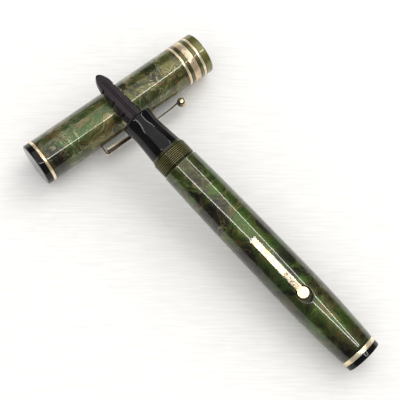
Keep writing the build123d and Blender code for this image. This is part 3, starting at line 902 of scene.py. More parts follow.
@dataclass
class Cap:
    """The cap: pearl shell, black crown, gold ring and three gold bands, lying along Y."""

    axis: TurnedAxis
    radius: float = 6.85
    length: float = 59.8
    bore: float = 5.60
    end_wall: float = 6.5
    stud: float = 4.0
    lip_round: float = 0.45
    mouth_radius: float = 6.10
    mouth_length: float = 2.2
    thread_pitch: float = 0.6667
    thread_turns: int = 8
    thread_depth: float = 0.31
    root: float = 5.83
    groove: float = 0.45
    groove_ease: float = 0.02
    lip_bevel: float = 0.15
    row_pitch: float = 1.0
    thread_row_pitch: float = 0.09
    inside: int = 12
    outside: int = 150
    bands: tuple[tuple[str, float, float], ...] = (
        ("upper_thin_band", 50.90, 0.95), ("wide_band", 53.00, 2.30), ("lower_thin_band", 56.45, 0.95))
    crown_length: float = 2.0
    stud_length: float = 5.5
    ring_width: float = 1.0
    clip_angle: float = -104.0
    clip_station: float = 16.5
    slot_half_length: float = 0.40
    slot_half_width: float = 1.65

    def outer_rows(self, thread_start: float) -> Array:
        """(station, radius) of the skin and its grooves, with finer rows over the thread."""
        corners = [(0.0, self.radius, 0.0), (self.clip_station - self.slot_half_length, self.radius, 0.0),
                   (self.clip_station + self.slot_half_length, self.radius, 0.0)]
        floor, ease = self.radius - self.groove, self.groove_ease
        for _, start, width in self.bands:
            end = start + width
            corners += [(start - ease, self.radius, 3 * ease), (start, floor, 0.0), (end, floor, 0.0),
                        (end + ease, self.radius, 3 * ease)]
        corners += [(self.length, self.radius, self.lip_round),
                    (self.length, self.mouth_radius + self.lip_bevel, 0.0)]
        rows = rounded(corners, 6)
        split = np.searchsorted(rows[:, 0], thread_start)
        threaded = refined(rows[split - 1:], self.thread_row_pitch)
        return join([refined(rows[:split], self.row_pitch), threaded[1:]])

    def masks(self, along: Array, angle: Array) -> dict[str, Array]:
        """Painted shade at the crown end, strongest on one side, amber lip end and grime at seams and bands,
        over stations and angles.
        """
        lower = np.clip(np.cos(angle - 0.1), 0, 1)
        edges = [edge for _, start, width in self.bands for edge in (start, start + width)]
        gaps = sum(near(along, edge, 0.16) for edge in edges)
        between = sum(near(along, (low + high) / 2, 0.55) for low, high in zip(edges[1::2], edges[2::2]))
        painted = {
            # painted shade: darkens the crown end, most on the clip's side
            "burnt": near(along, 1.5, 4.2) * (0.25 + 0.75 * lower) * 1.25,
            "amber": near(along, 60.0, 9.5) * 1.1 + 0.25 * near(along, 45.0, 6.0) * lower,
            "grime": 0.75 * gaps + 0.35 * between + 0.5 * near(along, 0.0, 0.25),
            "dull": np.zeros_like(angle)}
        return {name: np.broadcast_to(np.clip(value, 0, 1), angle.shape) for name, value in painted.items()}

    def shell(self, finish: Material) -> Object:
        """Tube with lead-in, screw thread, band grooves and clip slot, painted with toned zones and painted
        shade.
        """
        mouth = self.length - self.mouth_length
        thread_start = mouth - self.thread_turns * self.thread_pitch
        rows = self.outer_rows(thread_start)
        station, outer = rows[:, :1], rows[:, 1]
        inner = np.interp(rows[:, 0], [0, self.end_wall, self.end_wall + 0.01, thread_start,
                                       thread_start + 0.2, mouth - 0.01, mouth],
                          [self.stud, self.stud, self.bore, self.bore, self.root, self.root,
                           self.mouth_radius])
        axis = self.axis.rolled(self.clip_angle)
        half = np.full(len(rows), self.slot_half_width)
        out_angle, in_angle = (split_columns(radius, half, self.inside, self.outside)
                               for radius in (outer, inner))
        thread = screw_thread(station, in_angle, thread_start, self.thread_turns, self.thread_pitch)
        middle = (station[1:] + station[:-1]) / 2
        cut = (np.abs(middle - self.clip_station) < self.slot_half_length) & (
            np.arange(out_angle.shape[1]) < self.inside)
        levels = [axis.turn(station, outer[:, None], out_angle),
                  axis.turn(station, inner[:, None] - self.thread_depth * thread, in_angle)]
        skin = Skin("cap_shell")
        WindowedShell(levels, np.where(cut, 1, 0), 1).into(skin, **self.masks(station, out_angle))
        return mount(skin.build(finish), "cap", "green_celluloid", "cap_tube")

    def crown(self, finish: Material) -> Object:
        """Flat black end with a softly rounded rim and its stud."""
        seat, stud_end = -self.ring_width, self.stud_length
        face = seat - self.crown_length
        outline = rounded([(face, 0.0, 0.0), (face, 5.6, 0.3), (face + 0.10, self.radius, 0.42),
                           (seat - 0.05, self.radius, 0.05), (seat, self.radius - 0.08, 0.0),
                           (seat, self.stud, 0.0), (stud_end, self.stud, 0.2), (stud_end, 0.0, 0.0)], 8)
        skin = turned_piece("crown", self.axis, outline, 192)
        away = skin.points[0] - self.axis.origin
        station = away @ self.axis.along / MM
        reach = np.linalg.norm(away - np.outer(station, self.axis.along) * MM, axis=1) / MM
        # painted reflection: grey on the flat end face, more towards its rim
        skin.masks["dust"] = [(station < face + 0.02) * np.clip(0.45 + 0.05 * reach, 0, 0.8)]
        return mount(skin.build(finish), "cap", "black_rubber", "cap_crown")

    def crown_ring(self, finish: Material) -> Object:
        """Gold ring between crown and tube, with soft edges that catch the light."""
        ring = hoop("gold_ring_of_crown", self.axis, -self.ring_width, self.ring_width, self.stud,
                    self.radius)
        return mount(ring.build(finish), "cap", "gold_trim", "crown_ring")

    def dress_bands(self, thin: Material, wide: Material) -> None:
        """Lays the three bands in their grooves."""
        for node, start, width in self.bands:
            band = hoop("gold_" + node, self.axis, start, width, self.radius - self.groove, self.radius)
            mount(band.build(wide if node == "wide_band" else thin), "cap", "gold_trim", node)


@dataclass
class Clip:
    """The clip: a spring strip with rounded edges darkened by painted shade, and its round foot."""

    axis: TurnedAxis
    station: float = 16.5
    tang_station: float = 14.0
    tang_height: float = 4.80
    root_height: float = 9.80
    dip_station: float = 40.5
    dip_height: float = 9.45
    foot_station: float = 44.6
    foot_height: float = 9.02
    root_width: float = 3.0
    tip_width: float = 1.94
    thick: float = 0.50
    wall_start: float = 17.5
    wall_end: float = 36.5
    wall_depth: float = 1.50
    wall_inset: float = 0.03
    taper_lead: float = 2.0
    rim_start: float = 0.90
    pinch: float = 0.001
    around: int = 28

    def strip(self, finish: Material) -> Object:
        """Sweeps a rounded oblong along the clip's bent line; its rims and inner face are darkened with
        painted shade and dark reflection.

        The oblong is |y / a|^4 + |z / b|^4 = 1, read at even angles: y = a sign(c) sqrt|c|, z = b sign(s)
        sqrt|s|, with c and s the cosine and sine.
        """
        line = rounded([(self.tang_station, self.tang_height, 0.0), (self.station, self.tang_height, 0.3),
                        (self.station, self.root_height, 0.9), (self.dip_station, self.dip_height, 2.4),
                        (self.foot_station, self.foot_height, 0.0)], 9)
        line = refined(line, 0.8)
        run = np.gradient(line, axis=0)
        run /= np.linalg.norm(run, axis=1, keepdims=True)
        half, deep = self.half_width(line[:, 0]), np.full((len(line), 1), self.thick / 2)
        turn = np.arange(self.around) / self.around * TAU
        across, out = (np.sign(wave) * np.abs(wave) ** 0.5 for wave in (np.cos(turn), np.sin(turn)))
        scale = join([[self.pinch], np.ones(len(line)), [self.pinch]])[:, None]
        line, run, half, deep = (join([part[:1], part, part[-1:]]) for part in (line, run, half, deep))
        station = line[:, :1] - run[:, 1:] * deep * out * scale
        height = line[:, 1:] + run[:, :1] * deep * out * scale
        # painted shade and dark reflection on the rims and on the face towards the cap
        rim = np.clip((np.abs(across) - self.rim_start) / 0.07, 0, 1) + 0.8 * (out < -0.5)
        skin = Skin("clip_spring")
        skin.add_grid(self.axis.place(station, half * across * scale, height), grime=np.clip(rim, 0, 1)[None])
        self.walls(skin)
        return mount(skin.build(finish, 50.0), "clip", "gold_trim", "clip_strip")

    def half_width(self, station: Array) -> Array:
        """Half the strip's width as a column: a straight taper from the root to the foot."""
        taper = [self.station + self.taper_lead, self.foot_station]
        return np.interp(station, taper, [self.root_width, self.tip_width])[:, None] / 2

    def walls(self, skin: Skin) -> None:
        """Adds the side walls: four-cornered bars whose depth runs out evenly along the arm."""
        station = np.linspace(self.wall_start, self.wall_end, 24)
        share = np.linspace(0, 1, 24)[:, None]
        top = np.interp(station, [self.station, self.dip_station], [self.root_height, self.dip_height])
        top = top[:, None]
        low = top - self.wall_depth + (self.wall_depth - self.thick / 2) * share
        half = self.half_width(station) - self.wall_inset
        inner = half - self.thick * (1 - 0.4 * share)
        for side in (1, -1):
            across = join([half, half, half, inner, inner], axis=1) * side
            height = join([top, top - 0.55 * (top - low), low, low, top], axis=1)
            across, height = (join([part[:1] * 0 + part[:1].mean(), part, part[-1:] * 0 + part[-1:].mean()])
                              for part in (across, height))
            along = join([station[:1], station, station[-1:]])[:, None]
            # painted shade on the walls, except along their lower outer edge
            grime = np.array([0.9, 1.0, 0.05, 0.6, 1.0])[None]
            skin.add_grid(self.axis.place(along, across, height), grime=grime)

    def ball(self, finish: Material) -> Object:
        """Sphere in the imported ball's box: rings of radius r sin(a) at height r cos(a)."""
        low, high = (np.array(corner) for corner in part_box("clip_ball"))
        centre, radius = (low + high) / 2, (high - low).max() / 2
        a, b = np.meshgrid(np.linspace(0, math.pi, 33), np.arange(48) / 48 * TAU, indexing="ij")
        outward = np.stack([np.sin(a) * np.cos(b), np.cos(a), np.sin(a) * np.sin(b)], -1)
        # painted shade on the side of the ball towards the strip
        strip_side_shade = np.clip(outward @ -self.axis.along * 1.6 - 0.45, 0, 1)
        skin = Skin("clip_foot_ball")
        skin.add_grid(outward * radius + centre, grime=strip_side_shade)
        return mount(skin.build(finish), "clip", "gold_trim", "clip_ball")


@dataclass
class Barrel:
    """The barrel with its screw thread, swelling, lever slot, disc pocket and thumb recess."""

    axis: TurnedAxis
    start: float = 13.45
    end: float = 93.55
    bore: float = 4.60
    thread_start: float = 14.35
    thread_turns: int = 9
    thread_pitch: float = 0.5333
    crest: float = 5.80
    depth: float = 0.32
    shoulder: float = 19.45
    swell: tuple[tuple[float, float], ...] = ((19.70, 5.98), (37.45, 6.39), (55.45, 6.54), (71.45, 6.62),
                                              (83.45, 6.32), (93.55, 5.82))
    slot_start: float = 49.85
    slot_half: float = 1.05
    disc_station: float = 71.0
    pocket_radius: float = 1.81
    pocket_floor: float = 5.35
    pocket_cut: float = 0.5
    chamfer: float = 0.25
    recess: tuple[float, float] = (68.4, 74.9)
    scoop_station: float = 71.6
    scoop_ball: float = 5.1222
    scoop_height: float = 10.8422
    inside: int = 12
    outside: int = 168
    gather: float = 0.55

    def rows(self) -> Array:
        """(station, radius) of the skin, with steps and closer rows where detail needs them."""
        root = self.crest - self.depth
        front = rounded([(self.start, root - 0.25, 0.0), (self.start, root - 0.05, 0.1),
                         (self.start + 0.5, root, 0.0), (self.thread_start, root, 0.0)], 4)
        count = self.thread_turns * 10
        along = np.linspace(self.thread_start, self.shoulder, count)
        threads = np.stack([along, np.full(count, root)], 1)[1:]
        first, full = self.swell[0]
        step = rounded([(self.shoulder, root, 0.0), (self.shoulder, full - self.chamfer, 0.04),
                        (first, full, 0.08), (first + 0.4, full + 0.015, 0.0)], 5)[1:]
        knots = np.array(self.swell)
        pocket_start, pocket_end = self.pocket()
        fixed = [first + 0.6, self.slot_start, self.recess[0], pocket_start, pocket_end, self.recess[1],
                 self.end - 0.12]
        pitches = [1.0, 1.0, 0.22, 0.18, 0.2, 1.0]
        spans = [np.linspace(a, b, max(2, math.ceil((b - a) / pitch) + 1))[:-1]
                 for a, b, pitch in zip(fixed[:-1], fixed[1:], pitches)]
        station = join(spans + [np.array([fixed[-1]])])
        body = np.stack([station, smooth_curve(knots, station)], 1)
        tail = np.array([[self.end, self.swell[-1][1] - 0.05]])
        return join([front, threads, step, body, tail])

    def pocket(self) -> tuple[float, float]:
        """Stations where the pocket's circle leaves the slot's edge and where its far end is cut."""
        return (self.disc_station - math.sqrt(self.pocket_radius ** 2 - self.slot_half ** 2),
                self.disc_station + math.sqrt(self.pocket_radius ** 2 - self.pocket_cut ** 2))

    def slot_edge(self, station: Array) -> Array:
        """Half the opening's width: the slot's, then the pocket's circle sqrt(r^2 - (s - centre)^2)."""
        circle = self.pocket_radius ** 2 - (station - self.disc_station) ** 2
        pocket = np.sqrt(np.clip(circle, self.pocket_cut ** 2, None))
        return np.where(station < self.disc_station - 1.0, np.maximum(self.slot_half, pocket), pocket)

    def scooped(self, station: Array, radius: Array, angle: Array) -> Array:
        """Skin radius lowered by the thumb recess, a ball sunk into the barrel over the disc.

        Along a ray at an angle a, the ball's near side is h cos(a) - sqrt(h^2 cos^2(a) - h^2 - d^2 +
        b^2), with h its height, d the distance along the axis and b its radius.

        Args:
            station: Station of each point.
            radius: Radius before the recess.
            angle: Angle of each point.

        Returns:
            Radius of each point.
        """
        facing = self.scoop_height * np.cos(angle)
        under = (facing ** 2 - self.scoop_height ** 2 - (station - self.scoop_station) ** 2
                 + self.scoop_ball ** 2)
        hit = np.where(under > 0, facing - np.sqrt(np.clip(under, 0, None)), 1e3)
        return np.where(facing > 0, np.minimum(radius, hit), radius)

    def masks(self, wide: Array, angle: Array, thread: Array, sunk: Array) -> dict[str, Array]:
        """Amber tone with painted highlights on the crests and shoulder, painted shade on one side, in the
        roots and in the recess, grime at the seams, and dulled zones.

        Args:
            wide: Station of each point.
            angle: Angle of each point.
            thread: Height share of the screw thread.
            sunk: Depth of each point below the skin's profile.

        Returns:
            Mask values by name.
        """
        in_thread = (wide > self.thread_start - 0.3) & (wide < self.shoulder + 0.02)
        sunk = np.clip(sunk, 0, None) * (wide > self.disc_station - 4)
        hollow = np.clip(sunk / 0.06, 0, 1)
        # painted shade in the thread roots and in the recess; grime at the front and tail seams
        grime = np.maximum.reduce([
            in_thread * np.clip(1.15 - 1.7 * thread, 0, 1), 0.8 * near(wide, self.start, 0.4),
            hollow * (0.62 + 0.35 * near(sunk, 0.05, 0.06)), 0.6 * near(wide, self.end, 0.15)])
        # painted shade on the side turned from the light, at both ends and along the middle
        facing = np.cos(angle + 0.9)
        burnt = (near(wide, 91.0, 5.0) * (0.35 + 0.5 * facing) + 0.5 * near(wide, 21.0, 3.0) * facing
                 + 0.65 * near(wide, 62.0, 15.0) * np.clip(np.cos(angle + 1.1), 0, 1))
        # amber tone over the thread, a painted highlight on its crests, and a thin painted highlight along
        # the shoulder
        amber = 0.95 * in_thread * (0.35 + 0.65 * thread) + 0.8 * near(wide, self.swell[0][0] - 0.02, 0.10)
        dull = 0.95 * in_thread + 0.6 * hollow
        return {"grime": grime, "burnt": np.clip(burnt, 0, 1), "amber": np.clip(amber, 0, 1),
                "dull": np.clip(dull, 0, 1)}

    def shell(self, finish: Material) -> Object:
        """Builds the barrel wall and paints its amber tone, painted highlights, painted shade and grime."""
        rows = self.rows()
        station, outer = rows[:, :1], rows[:, 1:]
        edge = self.slot_edge(station[:, 0])
        out_angle, in_angle = (split_columns(wall, edge, self.inside, self.outside, self.gather)
                               for wall in (outer[:, 0], np.full(len(rows), self.bore)))
        thread = screw_thread(station, out_angle, self.thread_start, self.thread_turns, self.thread_pitch)
        wide = np.broadcast_to(station, out_angle.shape)
        radius = self.scooped(wide, outer + self.depth * thread, out_angle)
        floor_across = np.broadcast_to(outer * np.sin(out_angle), out_angle.shape)
        levels = [self.axis.turn(wide, radius, out_angle),
                  self.axis.place(wide, floor_across, self.pocket_floor),
                  self.axis.turn(wide, self.bore, in_angle)]
        middle = (station[1:] + station[:-1]) / 2
        pocket_start, pocket_end = self.pocket()
        across = np.arange(out_angle.shape[1])[None] < self.inside
        level = np.where(across & (middle > self.slot_start) & (middle < pocket_start), 2, 0)
        level = np.where(across & (middle >= pocket_start) & (middle < pocket_end), 1, level)
        skin = Skin("barrel_shell")
        WindowedShell(levels, level, 2).into(skin, **self.masks(wide, out_angle, thread, outer - radius))
        return mount(skin.build(finish, 34.0), "pen", "green_celluloid", "barrel")


@dataclass
class Tail:
    """Gold ring and domed black plug that close the barrel."""

    axis: TurnedAxis
    start: float = 93.55
    ring_width: float = 1.4
    ring_radius: float = 5.82
    bore: float = 4.60
    plug_radius: float = 5.72
    plug_length: float = 1.75
    dome: float = 0.55
    edge: float = 0.5
    stud: float = 4.5

    def ring(self, finish: Material) -> Object:
        """Ring with softened edges."""
        made = hoop("gold_ring_of_tail", self.axis, self.start, self.ring_width, self.bore, self.ring_radius,
                    seam=0.03, crown=0.02, around=160)
        return mount(made.build(finish), "pen", "gold_trim", "end_ring")

    def plug(self, finish: Material) -> Object:
        """Black plug: a short drum, a rounded rim and a low dome."""
        seat = self.start + self.ring_width
        rim = seat + self.plug_length
        low = self.start - self.stud
        t = np.linspace(0, 1, 12)[:-1]
        edge = self.plug_radius - self.edge
        dome = np.stack([rim + self.dome * t * (2 - t), edge * (1 - t)], 1)
        side = rounded([(low, 0.0, 0.0), (low, self.bore, 0.2), (seat, self.bore, 0.0),
                        (seat, self.plug_radius - 0.06, 0.0), (seat + 0.06, self.plug_radius, 0.0),
                        (rim, self.plug_radius, self.edge), (rim, edge, 0.0)], 8)
        outline = join([side[:-1], dome, [[rim + self.dome, 0.0]]])
        plug = turned_piece("tail_plug", self.axis, outline, 160)
        return mount(plug.build(finish), "pen", "black_rubber", "end_plug")


@dataclass
class Section:
    """Black grip: rolled lip, waist, flare, tenon and sac nipple."""

    axis: TurnedAxis
    length: float = 13.45
    lip: float = 5.06
    waist: float = 4.70
    waist_station: float = 4.10
    flare: float = 5.33
    bore: float = 3.15
    hole_depth: float = 11.0
    tenon: float = 20.45
    nipple: float = 25.45
    tenon_radius: float = 4.60
    nipple_radius: float = 3.20
    channel: float = 1.20

    def grip(self, finish: Material) -> Object:
        """Profile: a rolled lip, then a cubic through waist and flare."""
        knots = np.array([[0.88, self.lip], [2.0, self.lip - 0.13], [self.waist_station, self.waist],
                          [8.0, 4.86], [self.length, self.flare]])
        station = np.linspace(0.88, self.length - 0.1, 26)
        flank = np.stack([station, smooth_curve(knots, station)], 1)
        roll = np.linspace(0, 1, 12)[:, None]
        inner, top, outer = np.array([0.55, self.bore]), np.array([-0.35, 4.35]), np.array([0.88, self.lip])
        rise = (1 - roll) ** 2 * inner + 2 * roll * (1 - roll) * top + roll ** 2 * outer
        rise[:, 1] += 0.55 * (roll * (1 - roll))[:, 0] * 1.6
        tenon, nipple, channel = self.tenon_radius, self.nipple_radius, self.channel
        back = np.array([[self.length - 0.02, self.flare - 0.02], [self.length, self.flare - 0.1],
                         [self.length, tenon], [self.tenon, tenon], [self.tenon, nipple],
                         [self.nipple, nipple], [self.nipple, channel],
                         [self.hole_depth, channel], [self.hole_depth, self.bore]])
        outline = join([rise[:-1], flank, back])
        return mount(turned_piece("grip_section", self.axis, outline, 192).build(finish, 40.0),
                     "pen", "black_rubber", "section")


@dataclass
class Feed:
    """Ink feed: flat-topped tongue with a spoon head, side notches and two ink channels.

    Reach is the distance ahead of the section's mouth; the tip is at full reach.
    """

    axis: TurnedAxis
    reach: float = 17.35
    inner_end: float = -10.9
    radius: float = 2.95
    top: float = 1.95
    straight: float = 4.0
    tip_radius: float = 0.30
    drop: float = 0.20
    rise: float = 0.50
    head_length: float = 5.0
    head_half: float = 2.15
    waist_half: float = 1.85
    notches: int = 3
    notch_pitch: float = 4.65
    notch_half: float = 0.22
    notch_depth: float = 0.18
    channel_offset: float = 0.32
    channel_half: float = 0.09
    channel_depth: float = 0.45
    channel_close: float = 2.6
    crown: float = 0.07
    tip_run: float = 0.9

    def underside(self, reach: Array) -> Array:
        """Depth of the keel below the axis: its radius less the climb of its centre line."""
        span, fall = self.reach - self.straight, self.radius - self.tip_radius
        bend = (span ** 2 + fall ** 2) / (2 * fall)
        past = np.clip(reach - self.straight, 0, None)
        keel = self.radius - bend + np.sqrt(bend ** 2 - past ** 2)
        return keel + self.drop - (self.rise + self.drop) * np.clip(reach, 0, None) / self.reach

    def half_breadth(self, reach: Array) -> Array:
        """Plan of the tongue: straight taper to the waist, then a pointed-arch head with shoulders."""
        head = self.reach - self.head_length
        stem = self.radius - (self.radius - self.waist_half) * np.clip(reach, 0, head) / head
        u = np.clip((reach - head) / self.head_length, 0, 1)
        arch = (self.head_half - 0.03) * np.clip(1 - u ** 1.9, 0, 1) ** 0.64 + 0.02
        return np.where(reach > head, arch, stem)

    def rows(self) -> Array:
        """Reaches of the rows, doubled at the notches' and the head's edges, from inside to tip."""
        head = self.reach - self.head_length
        edges = [head - 0.001, head + 0.001]
        for centre in self.notch_centres():
            edges += [centre + side * (self.notch_half + tiny) for side in (-1, 1) for tiny in (-0.02, 0.02)]
        tip = self.reach - self.tip_run * np.linspace(1, 0, 14) ** 2
        return np.unique(join([np.linspace(self.inner_end, 0, 8),
                               np.linspace(0, self.reach - self.tip_run, 52),
                                         edges, tip]))

    def notch_centres(self) -> Array:
        """Reaches of the side notches' middles, from the head back."""
        return self.reach - self.head_length - self.notch_half - np.arange(self.notches) * self.notch_pitch

    def notch(self, reach: Array) -> Array:
        """1 inside a side notch, 0 outside it."""
        away = np.abs(reach[:, None] - self.notch_centres()).min(axis=1)
        return (away < self.notch_half).astype(float)

    def open_share(self, reach: Array) -> Array:
        """How open the ink channels are: they close before the tip and inside the section."""
        ahead = np.clip((self.reach - self.channel_close - reach) / 0.8, 0, 1)
        return ahead * np.clip((reach + 3) / 0.5, 0, 1)

    def top_half(self, half: Array, opened: Array) -> tuple[Array, Array]:
        """Right half of the top: a flat crowned by 1 - (y / half)^4, with an ink channel sunk in it.

        Args:
            half: Half the flat's width at each row.
            opened: How open the channel is at each row.

        Returns:
            Across and height of each point, rows by columns.
        """
        edge, gap = self.channel_offset, self.channel_half
        marks = np.array([0.0, edge - gap - 0.01, edge - gap, edge + gap, edge + gap + 0.01])
        outer = np.linspace(0.30, 1.0, 7)[1:]
        right = join([marks * np.clip(half / 0.6, 0, 1)[:, None], np.maximum(half[:, None] * outer, 0.0)],
                     axis=1)
        right = np.maximum.accumulate(right, axis=1)
        height = self.top - self.crown * (right / np.maximum(half, 0.02)[:, None]) ** 4
        height[:, 2:4] -= (self.channel_depth * opened)[:, None]
        return right, height

    def masks(self, columns: int, opened: Array, notch: Array) -> dict[str, Array]:
        """Ink along the channels, and painted shade in them and on the flanks of the notches.

        Args:
            columns: Points from the middle of the top to the middle of the keel.
            opened: How open the channels are at each row.
            notch: 1 at the rows of a notch.

        Returns:
            Mask values by name, with a row more at each end.
        """
        ink, grime, flank = np.zeros(columns), np.zeros(columns), np.arange(columns) > 8
        ink[:6] = (0.85, 0.85, 1.0, 1.0, 0.9, 0.25)
        # painted shade on the channel floors
        grime[2:4] = 1.0
        ink, grime, flank = (join([part, part[-2:0:-1]]) for part in (ink, grime, flank))
        opened, notch = (np.pad(part, 1)[:, None] for part in (opened, notch))
        # the notches' flanks also get painted shade
        return {"ink": ink * (0.25 + 0.75 * opened),
                "grime": np.clip(grime * opened + 0.8 * notch * flank, 0, 1)}

    def tongue(self, finish: Material) -> Object:
        """Loop of points round the feed at each row: crowned top with two channels, sides, round keel."""
        reach = self.rows()
        notch, depth, opened = self.notch(reach), self.underside(reach), self.open_share(reach)
        tall = self.top + depth
        plan = self.half_breadth(reach)
        flat = math.sqrt(self.radius ** 2 - (self.top + self.drop) ** 2)
        half = np.minimum(np.minimum(plan, flat), 0.98 * tall)
        plan = np.where(notch > 0, half - self.notch_depth, plan)
        right, height = self.top_half(half - notch * self.notch_depth, opened)
        turn = np.linspace(0, math.pi / 2, 22)[1:][None]
        down = self.top - self.crown - (tall[:, None] - self.crown) * np.sin(turn)
        body = np.sqrt(np.clip(self.radius ** 2 - (down + self.drop) ** 2, 0, None))
        side = np.minimum(np.minimum(body, plan[:, None]), tall[:, None] * np.cos(turn))
        ys, zs = join([right, side], axis=1), join([height, down], axis=1)
        loop_y = join([ys, -ys[:, -2:0:-1]], axis=1)
        loop_z = join([zs, zs[:, -2:0:-1]], axis=1)
        squeeze = np.clip((self.reach - reach) / self.tip_run, 0, 1) ** 0.5
        mid = (self.top - depth)[:, None] / 2
        loop_z = mid + (loop_z - mid) * (0.25 + 0.75 * squeeze)[:, None]
        points = self.axis.place(-reach[:, None], loop_y, loop_z)
        start, end = (np.broadcast_to(points[k].mean(axis=0), points[k].shape)[None] for k in (0, -1))
        skin = Skin("ink_feed")
        skin.add_grid(join([start, points, end]), **self.masks(ys.shape[1], opened, notch))
        return mount(skin.build(finish, 28.0), "pen", "feed_rubber", "feed")


# ---- studio --------------------------------------------------------------------------------------
class LightRole(Enum):
    """The studio's lights: a window that only shows in gloss, its bright seams, and a soft fill."""

    WINDOW = "window"
    LONG_SEAM = "long_seam"
    CROSS_SEAM = "cross_seam"
    FILL = "fill"


@dataclass
class Studio:
    """Pale table, window light with bright seams, soft fill and the camera."""

    height: float = 0.60
    corner: tuple[float, float] = (-0.290, -0.100)
    first: tuple[float, float] = (0.62, 0.785)
    second: tuple[float, float] = (0.76, -0.65)
    first_length: float = 0.70
    second_length: float = 0.75
    window_radiance: float = 1.1
    seam_radiance: float = 20.0
    seam_width: float = 0.026
    fill_middle: Vec = (0.25, -0.85, 0.95)
    fill_size: float = 0.9
    fill_radiance: float = 2.1
    room: float = 0.985
    gloss_room: float = 0.07
    table_half: float = 1.6
    rib_degrees: float = -51.9
    lens: float = 86.76
    eye: Vec = (-0.05428, 0.06276, 0.28126)
    eye_right: Vec = (-0.61555, -0.78709, 0.03974)
    eye_up: Vec = (0.75611, -0.57559, 0.31144)
    eye_back: Vec = (-0.22226, 0.22176, 0.94943)

    def panel(self, role: LightRole, middle: Array, size: tuple[float, float], radiance: float) -> Object:
        """Adds a downward rectangular light.

        Args:
            role: Which light it is.
            middle: Centre, in metres.
            size: Extents along the window's first and second edges.
            radiance: Brightness of its face; power = radiance pi area.

        Returns:
            The light.
        """
        lamp = bpy.data.lights.new(role.value, "AREA")
        lamp.shape = "RECTANGLE"
        lamp.size, lamp.size_y = size
        lamp.energy = radiance * math.pi * size[0] * size[1]
        lamp.color = (1.0, 0.99, 0.97)
        made = bpy.data.objects.new(role.value, lamp)
        made.location = middle
        made.rotation_euler = (0, 0, math.atan2(self.first[1], self.first[0]))
        bpy.context.scene.collection.objects.link(made)
        return made

    def lights(self) -> None:
        """Window with its seams in the gloss, a fill from the lips' side, and an even room."""
        start = np.array([*self.corner, self.height])
        one = np.array([*self.first, 0.0]) * self.first_length
        two = np.array([*self.second, 0.0]) * self.second_length
        window = self.panel(LightRole.WINDOW, start + (one + two) / 2,
                            (self.first_length, self.second_length), self.window_radiance)
        lower = np.array([0, 0, -0.004])
        long_seam = self.panel(LightRole.LONG_SEAM, start + one / 2 + lower,
                               (self.first_length, self.seam_width), self.seam_radiance)
        cross_seam = self.panel(LightRole.CROSS_SEAM, start + two / 2 + lower,
                                (self.seam_width, self.second_length), self.seam_radiance)
        for lamp in (window, long_seam, cross_seam):
            lamp.visible_diffuse = False
        fill = self.panel(LightRole.FILL, np.array(self.fill_middle), (self.fill_size, self.fill_size),
                          self.fill_radiance)
        towards = np.array(self.fill_middle) / np.linalg.norm(self.fill_middle)
        sideways = np.cross([0.0, 0.0, 1.0], towards)
        sideways /= np.linalg.norm(sideways)
        aim = Matrix([list(sideways), list(np.cross(towards, sideways)), list(towards)]).transposed()
        fill.rotation_euler = aim.to_euler()
        fill.visible_glossy = False
        world = bpy.data.worlds.new("room")
        world.use_nodes = True
        link = Link(world.node_tree)
        gloss = link.node("ShaderNodeLightPath").outputs["Is Glossy Ray"]
        dim = link.node("ShaderNodeMapRange", None, Value=gloss, To_Min=self.room, To_Max=self.gloss_room)
        background = world.node_tree.nodes["Background"]
        link.feed(background.inputs["Color"], (1.0, 0.995, 0.98, 1.0))
        link.feed(background.inputs["Strength"], dim.outputs[0])
        bpy.context.scene.world = world

    def table(self) -> None:
        """Pale laid paper under everything: a flat sheet whose faint ribs are in its material."""
        finish = Finish("laid_paper")
        link = finish.link
        spun = link.node("ShaderNodeVectorRotate", {"rotation_type": "Z_AXIS"}, Vector=finish.place,
                         Angle=math.radians(self.rib_degrees))
        ribs = link.noise(link.vector("MULTIPLY", spun.outputs[0], (0.06, 1.0, 1.0)), 1500.0, 2.0, 0.5)
        pulp = link.noise(finish.place, 160.0, 4.0, 0.6)
        tint = link.mix(link.span(ribs, 0.3, 0.7), shade((240, 239, 238)), shade((247, 246, 245)))
        tint = link.mix(link.times(link.span(pulp, 0.5, 0.8), 0.25), tint, shade((228, 227, 224)))
        bump = link.node("ShaderNodeBump", None, Height=ribs, Strength=0.3, Distance=0.0002)
        finish.set(Base_Color=tint, Roughness=0.85, Normal=bump.outputs[0], Specular_IOR_Level=0.2)
        mesh = bpy.data.meshes.new("table")
        size = self.table_half
        corners = [(-size, -size, 0), (size, -size, 0), (size, size, 0), (-size, size, 0)]
        mesh.from_pydata(corners, [], [(0, 1, 2, 3)])
        mesh.materials.append(finish.material)
        sheet = bpy.data.objects.new("table", mesh)
        bpy.context.scene.collection.objects.link(sheet)

    def camera(self) -> None:
        """Looks down on the crossing from behind the tail."""
        lens = bpy.data.cameras.new("camera")
        lens.lens, lens.sensor_width = self.lens, 36.0
        lens.clip_start, lens.clip_end = 0.01, 10.0
        made = bpy.data.objects.new("camera", lens)
        turned = Matrix([self.eye_right, self.eye_up, self.eye_back]).transposed().to_4x4()
        made.matrix_world = Matrix.Translation(self.eye) @ turned
        bpy.context.scene.collection.objects.link(made)
        bpy.context.scene.camera = made
        bpy.context.scene.view_settings.view_transform = "Standard"


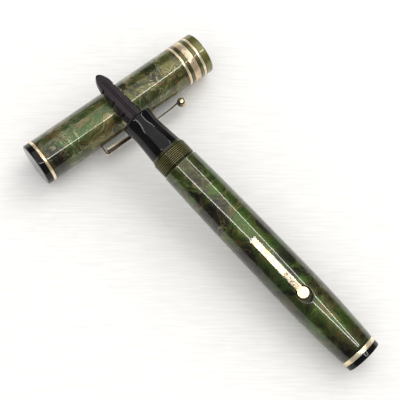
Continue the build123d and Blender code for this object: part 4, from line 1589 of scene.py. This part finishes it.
@dataclass
class Pen:
    """The whole object: both assemblies with their finishes."""

    cap: TurnedAxis
    pen: TurnedAxis

    def dress_packed(self) -> None:
        """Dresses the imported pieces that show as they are."""
        pairs = {
            "lever": RolledGold("gold_of_lever", rough=0.30, worn=(63.0, 69.3)).make(self.pen),
            "inner_cap": HardRubber("black_liner", rough=0.2).make(self.cap),
            "ink_sac": Latex().make(self.pen),
            "clip_backplate": SpringSteel("clip_spring_steel").make(self.cap)}
        steel = SpringSteel().make(self.pen)
        for node in ("lever_ring", "pressure_bar", "bar_rivet", "bar_spring"):
            pairs[node] = steel
        for node, material in pairs.items():
            packed = frame["nodes"][node]
            packed.data.materials.clear()
            packed.data.materials.append(material)
            log.info("%s: dressed", node)

    def build(self) -> None:
        """Builds and dresses every piece."""
        cap_pearl = Celluloid("cap_pearl", deep=(30, 34, 10), leaf=(62, 92, 40), olive=(116, 116, 56),
                              bronze=(140, 116, 68), cream=(192, 184, 148), amber=(128, 122, 60),
                              feather=0.85, shadow=0.65).make(self.cap)
        barrel_pearl = Celluloid("barrel_pearl", deep=(15, 16, 3), leaf=(60, 92, 20), olive=(76, 80, 30),
                                 bronze=(104, 86, 36), cream=(150, 142, 98), amber=(138, 130, 82),
                                 feather=0.55, shadow=0.7).make(self.pen)
        black = HardRubber("black_rubber_of_cap").make(self.cap)
        pen_black = HardRubber("black_rubber_of_pen").make(self.pen)
        thin = RolledGold("gold_of_thin_bands", patches=0.2).make(self.cap)
        wide = RolledGold("gold_of_wide_band", pale=(238, 222, 188), rosy=(206, 180, 148), patches=0.7,
                          patch_scale=260.0, rough=0.26).make(self.cap)
        tail_gold = RolledGold("gold_of_tail", patches=0.25).make(self.pen)
        cap = Cap(self.cap)
        cap.shell(cap_pearl)
        cap.crown(black)
        cap.crown_ring(thin)
        cap.dress_bands(thin, wide)
        clip = Clip(self.cap.rolled(cap.clip_angle))
        clip.strip(RolledGold("gold_of_clip", patches=0.5, rough=0.18).make(self.cap))
        clip.ball(RolledGold("gold_of_ball", rosy=(190, 156, 130), rough=0.14, metal=0.9).make(self.cap))
        Barrel(self.pen).shell(barrel_pearl)
        tail = Tail(self.pen)
        tail.ring(tail_gold)
        tail.plug(pen_black)
        Section(self.pen).grip(pen_black)
        Feed(self.pen.rolled(16.4)).tongue(InkedRubber().make(self.pen))
        self.dress_packed()


def main() -> None:
    """Builds the object, the table, the lights and the camera."""
    logging.basicConfig(level=logging.INFO, format="%(message)s")
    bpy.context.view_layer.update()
    Pen(cap_axis(), pen_axis()).build()
    studio = Studio()
    studio.table()
    studio.lights()
    studio.camera()


if __name__ == "__main__":
    main()
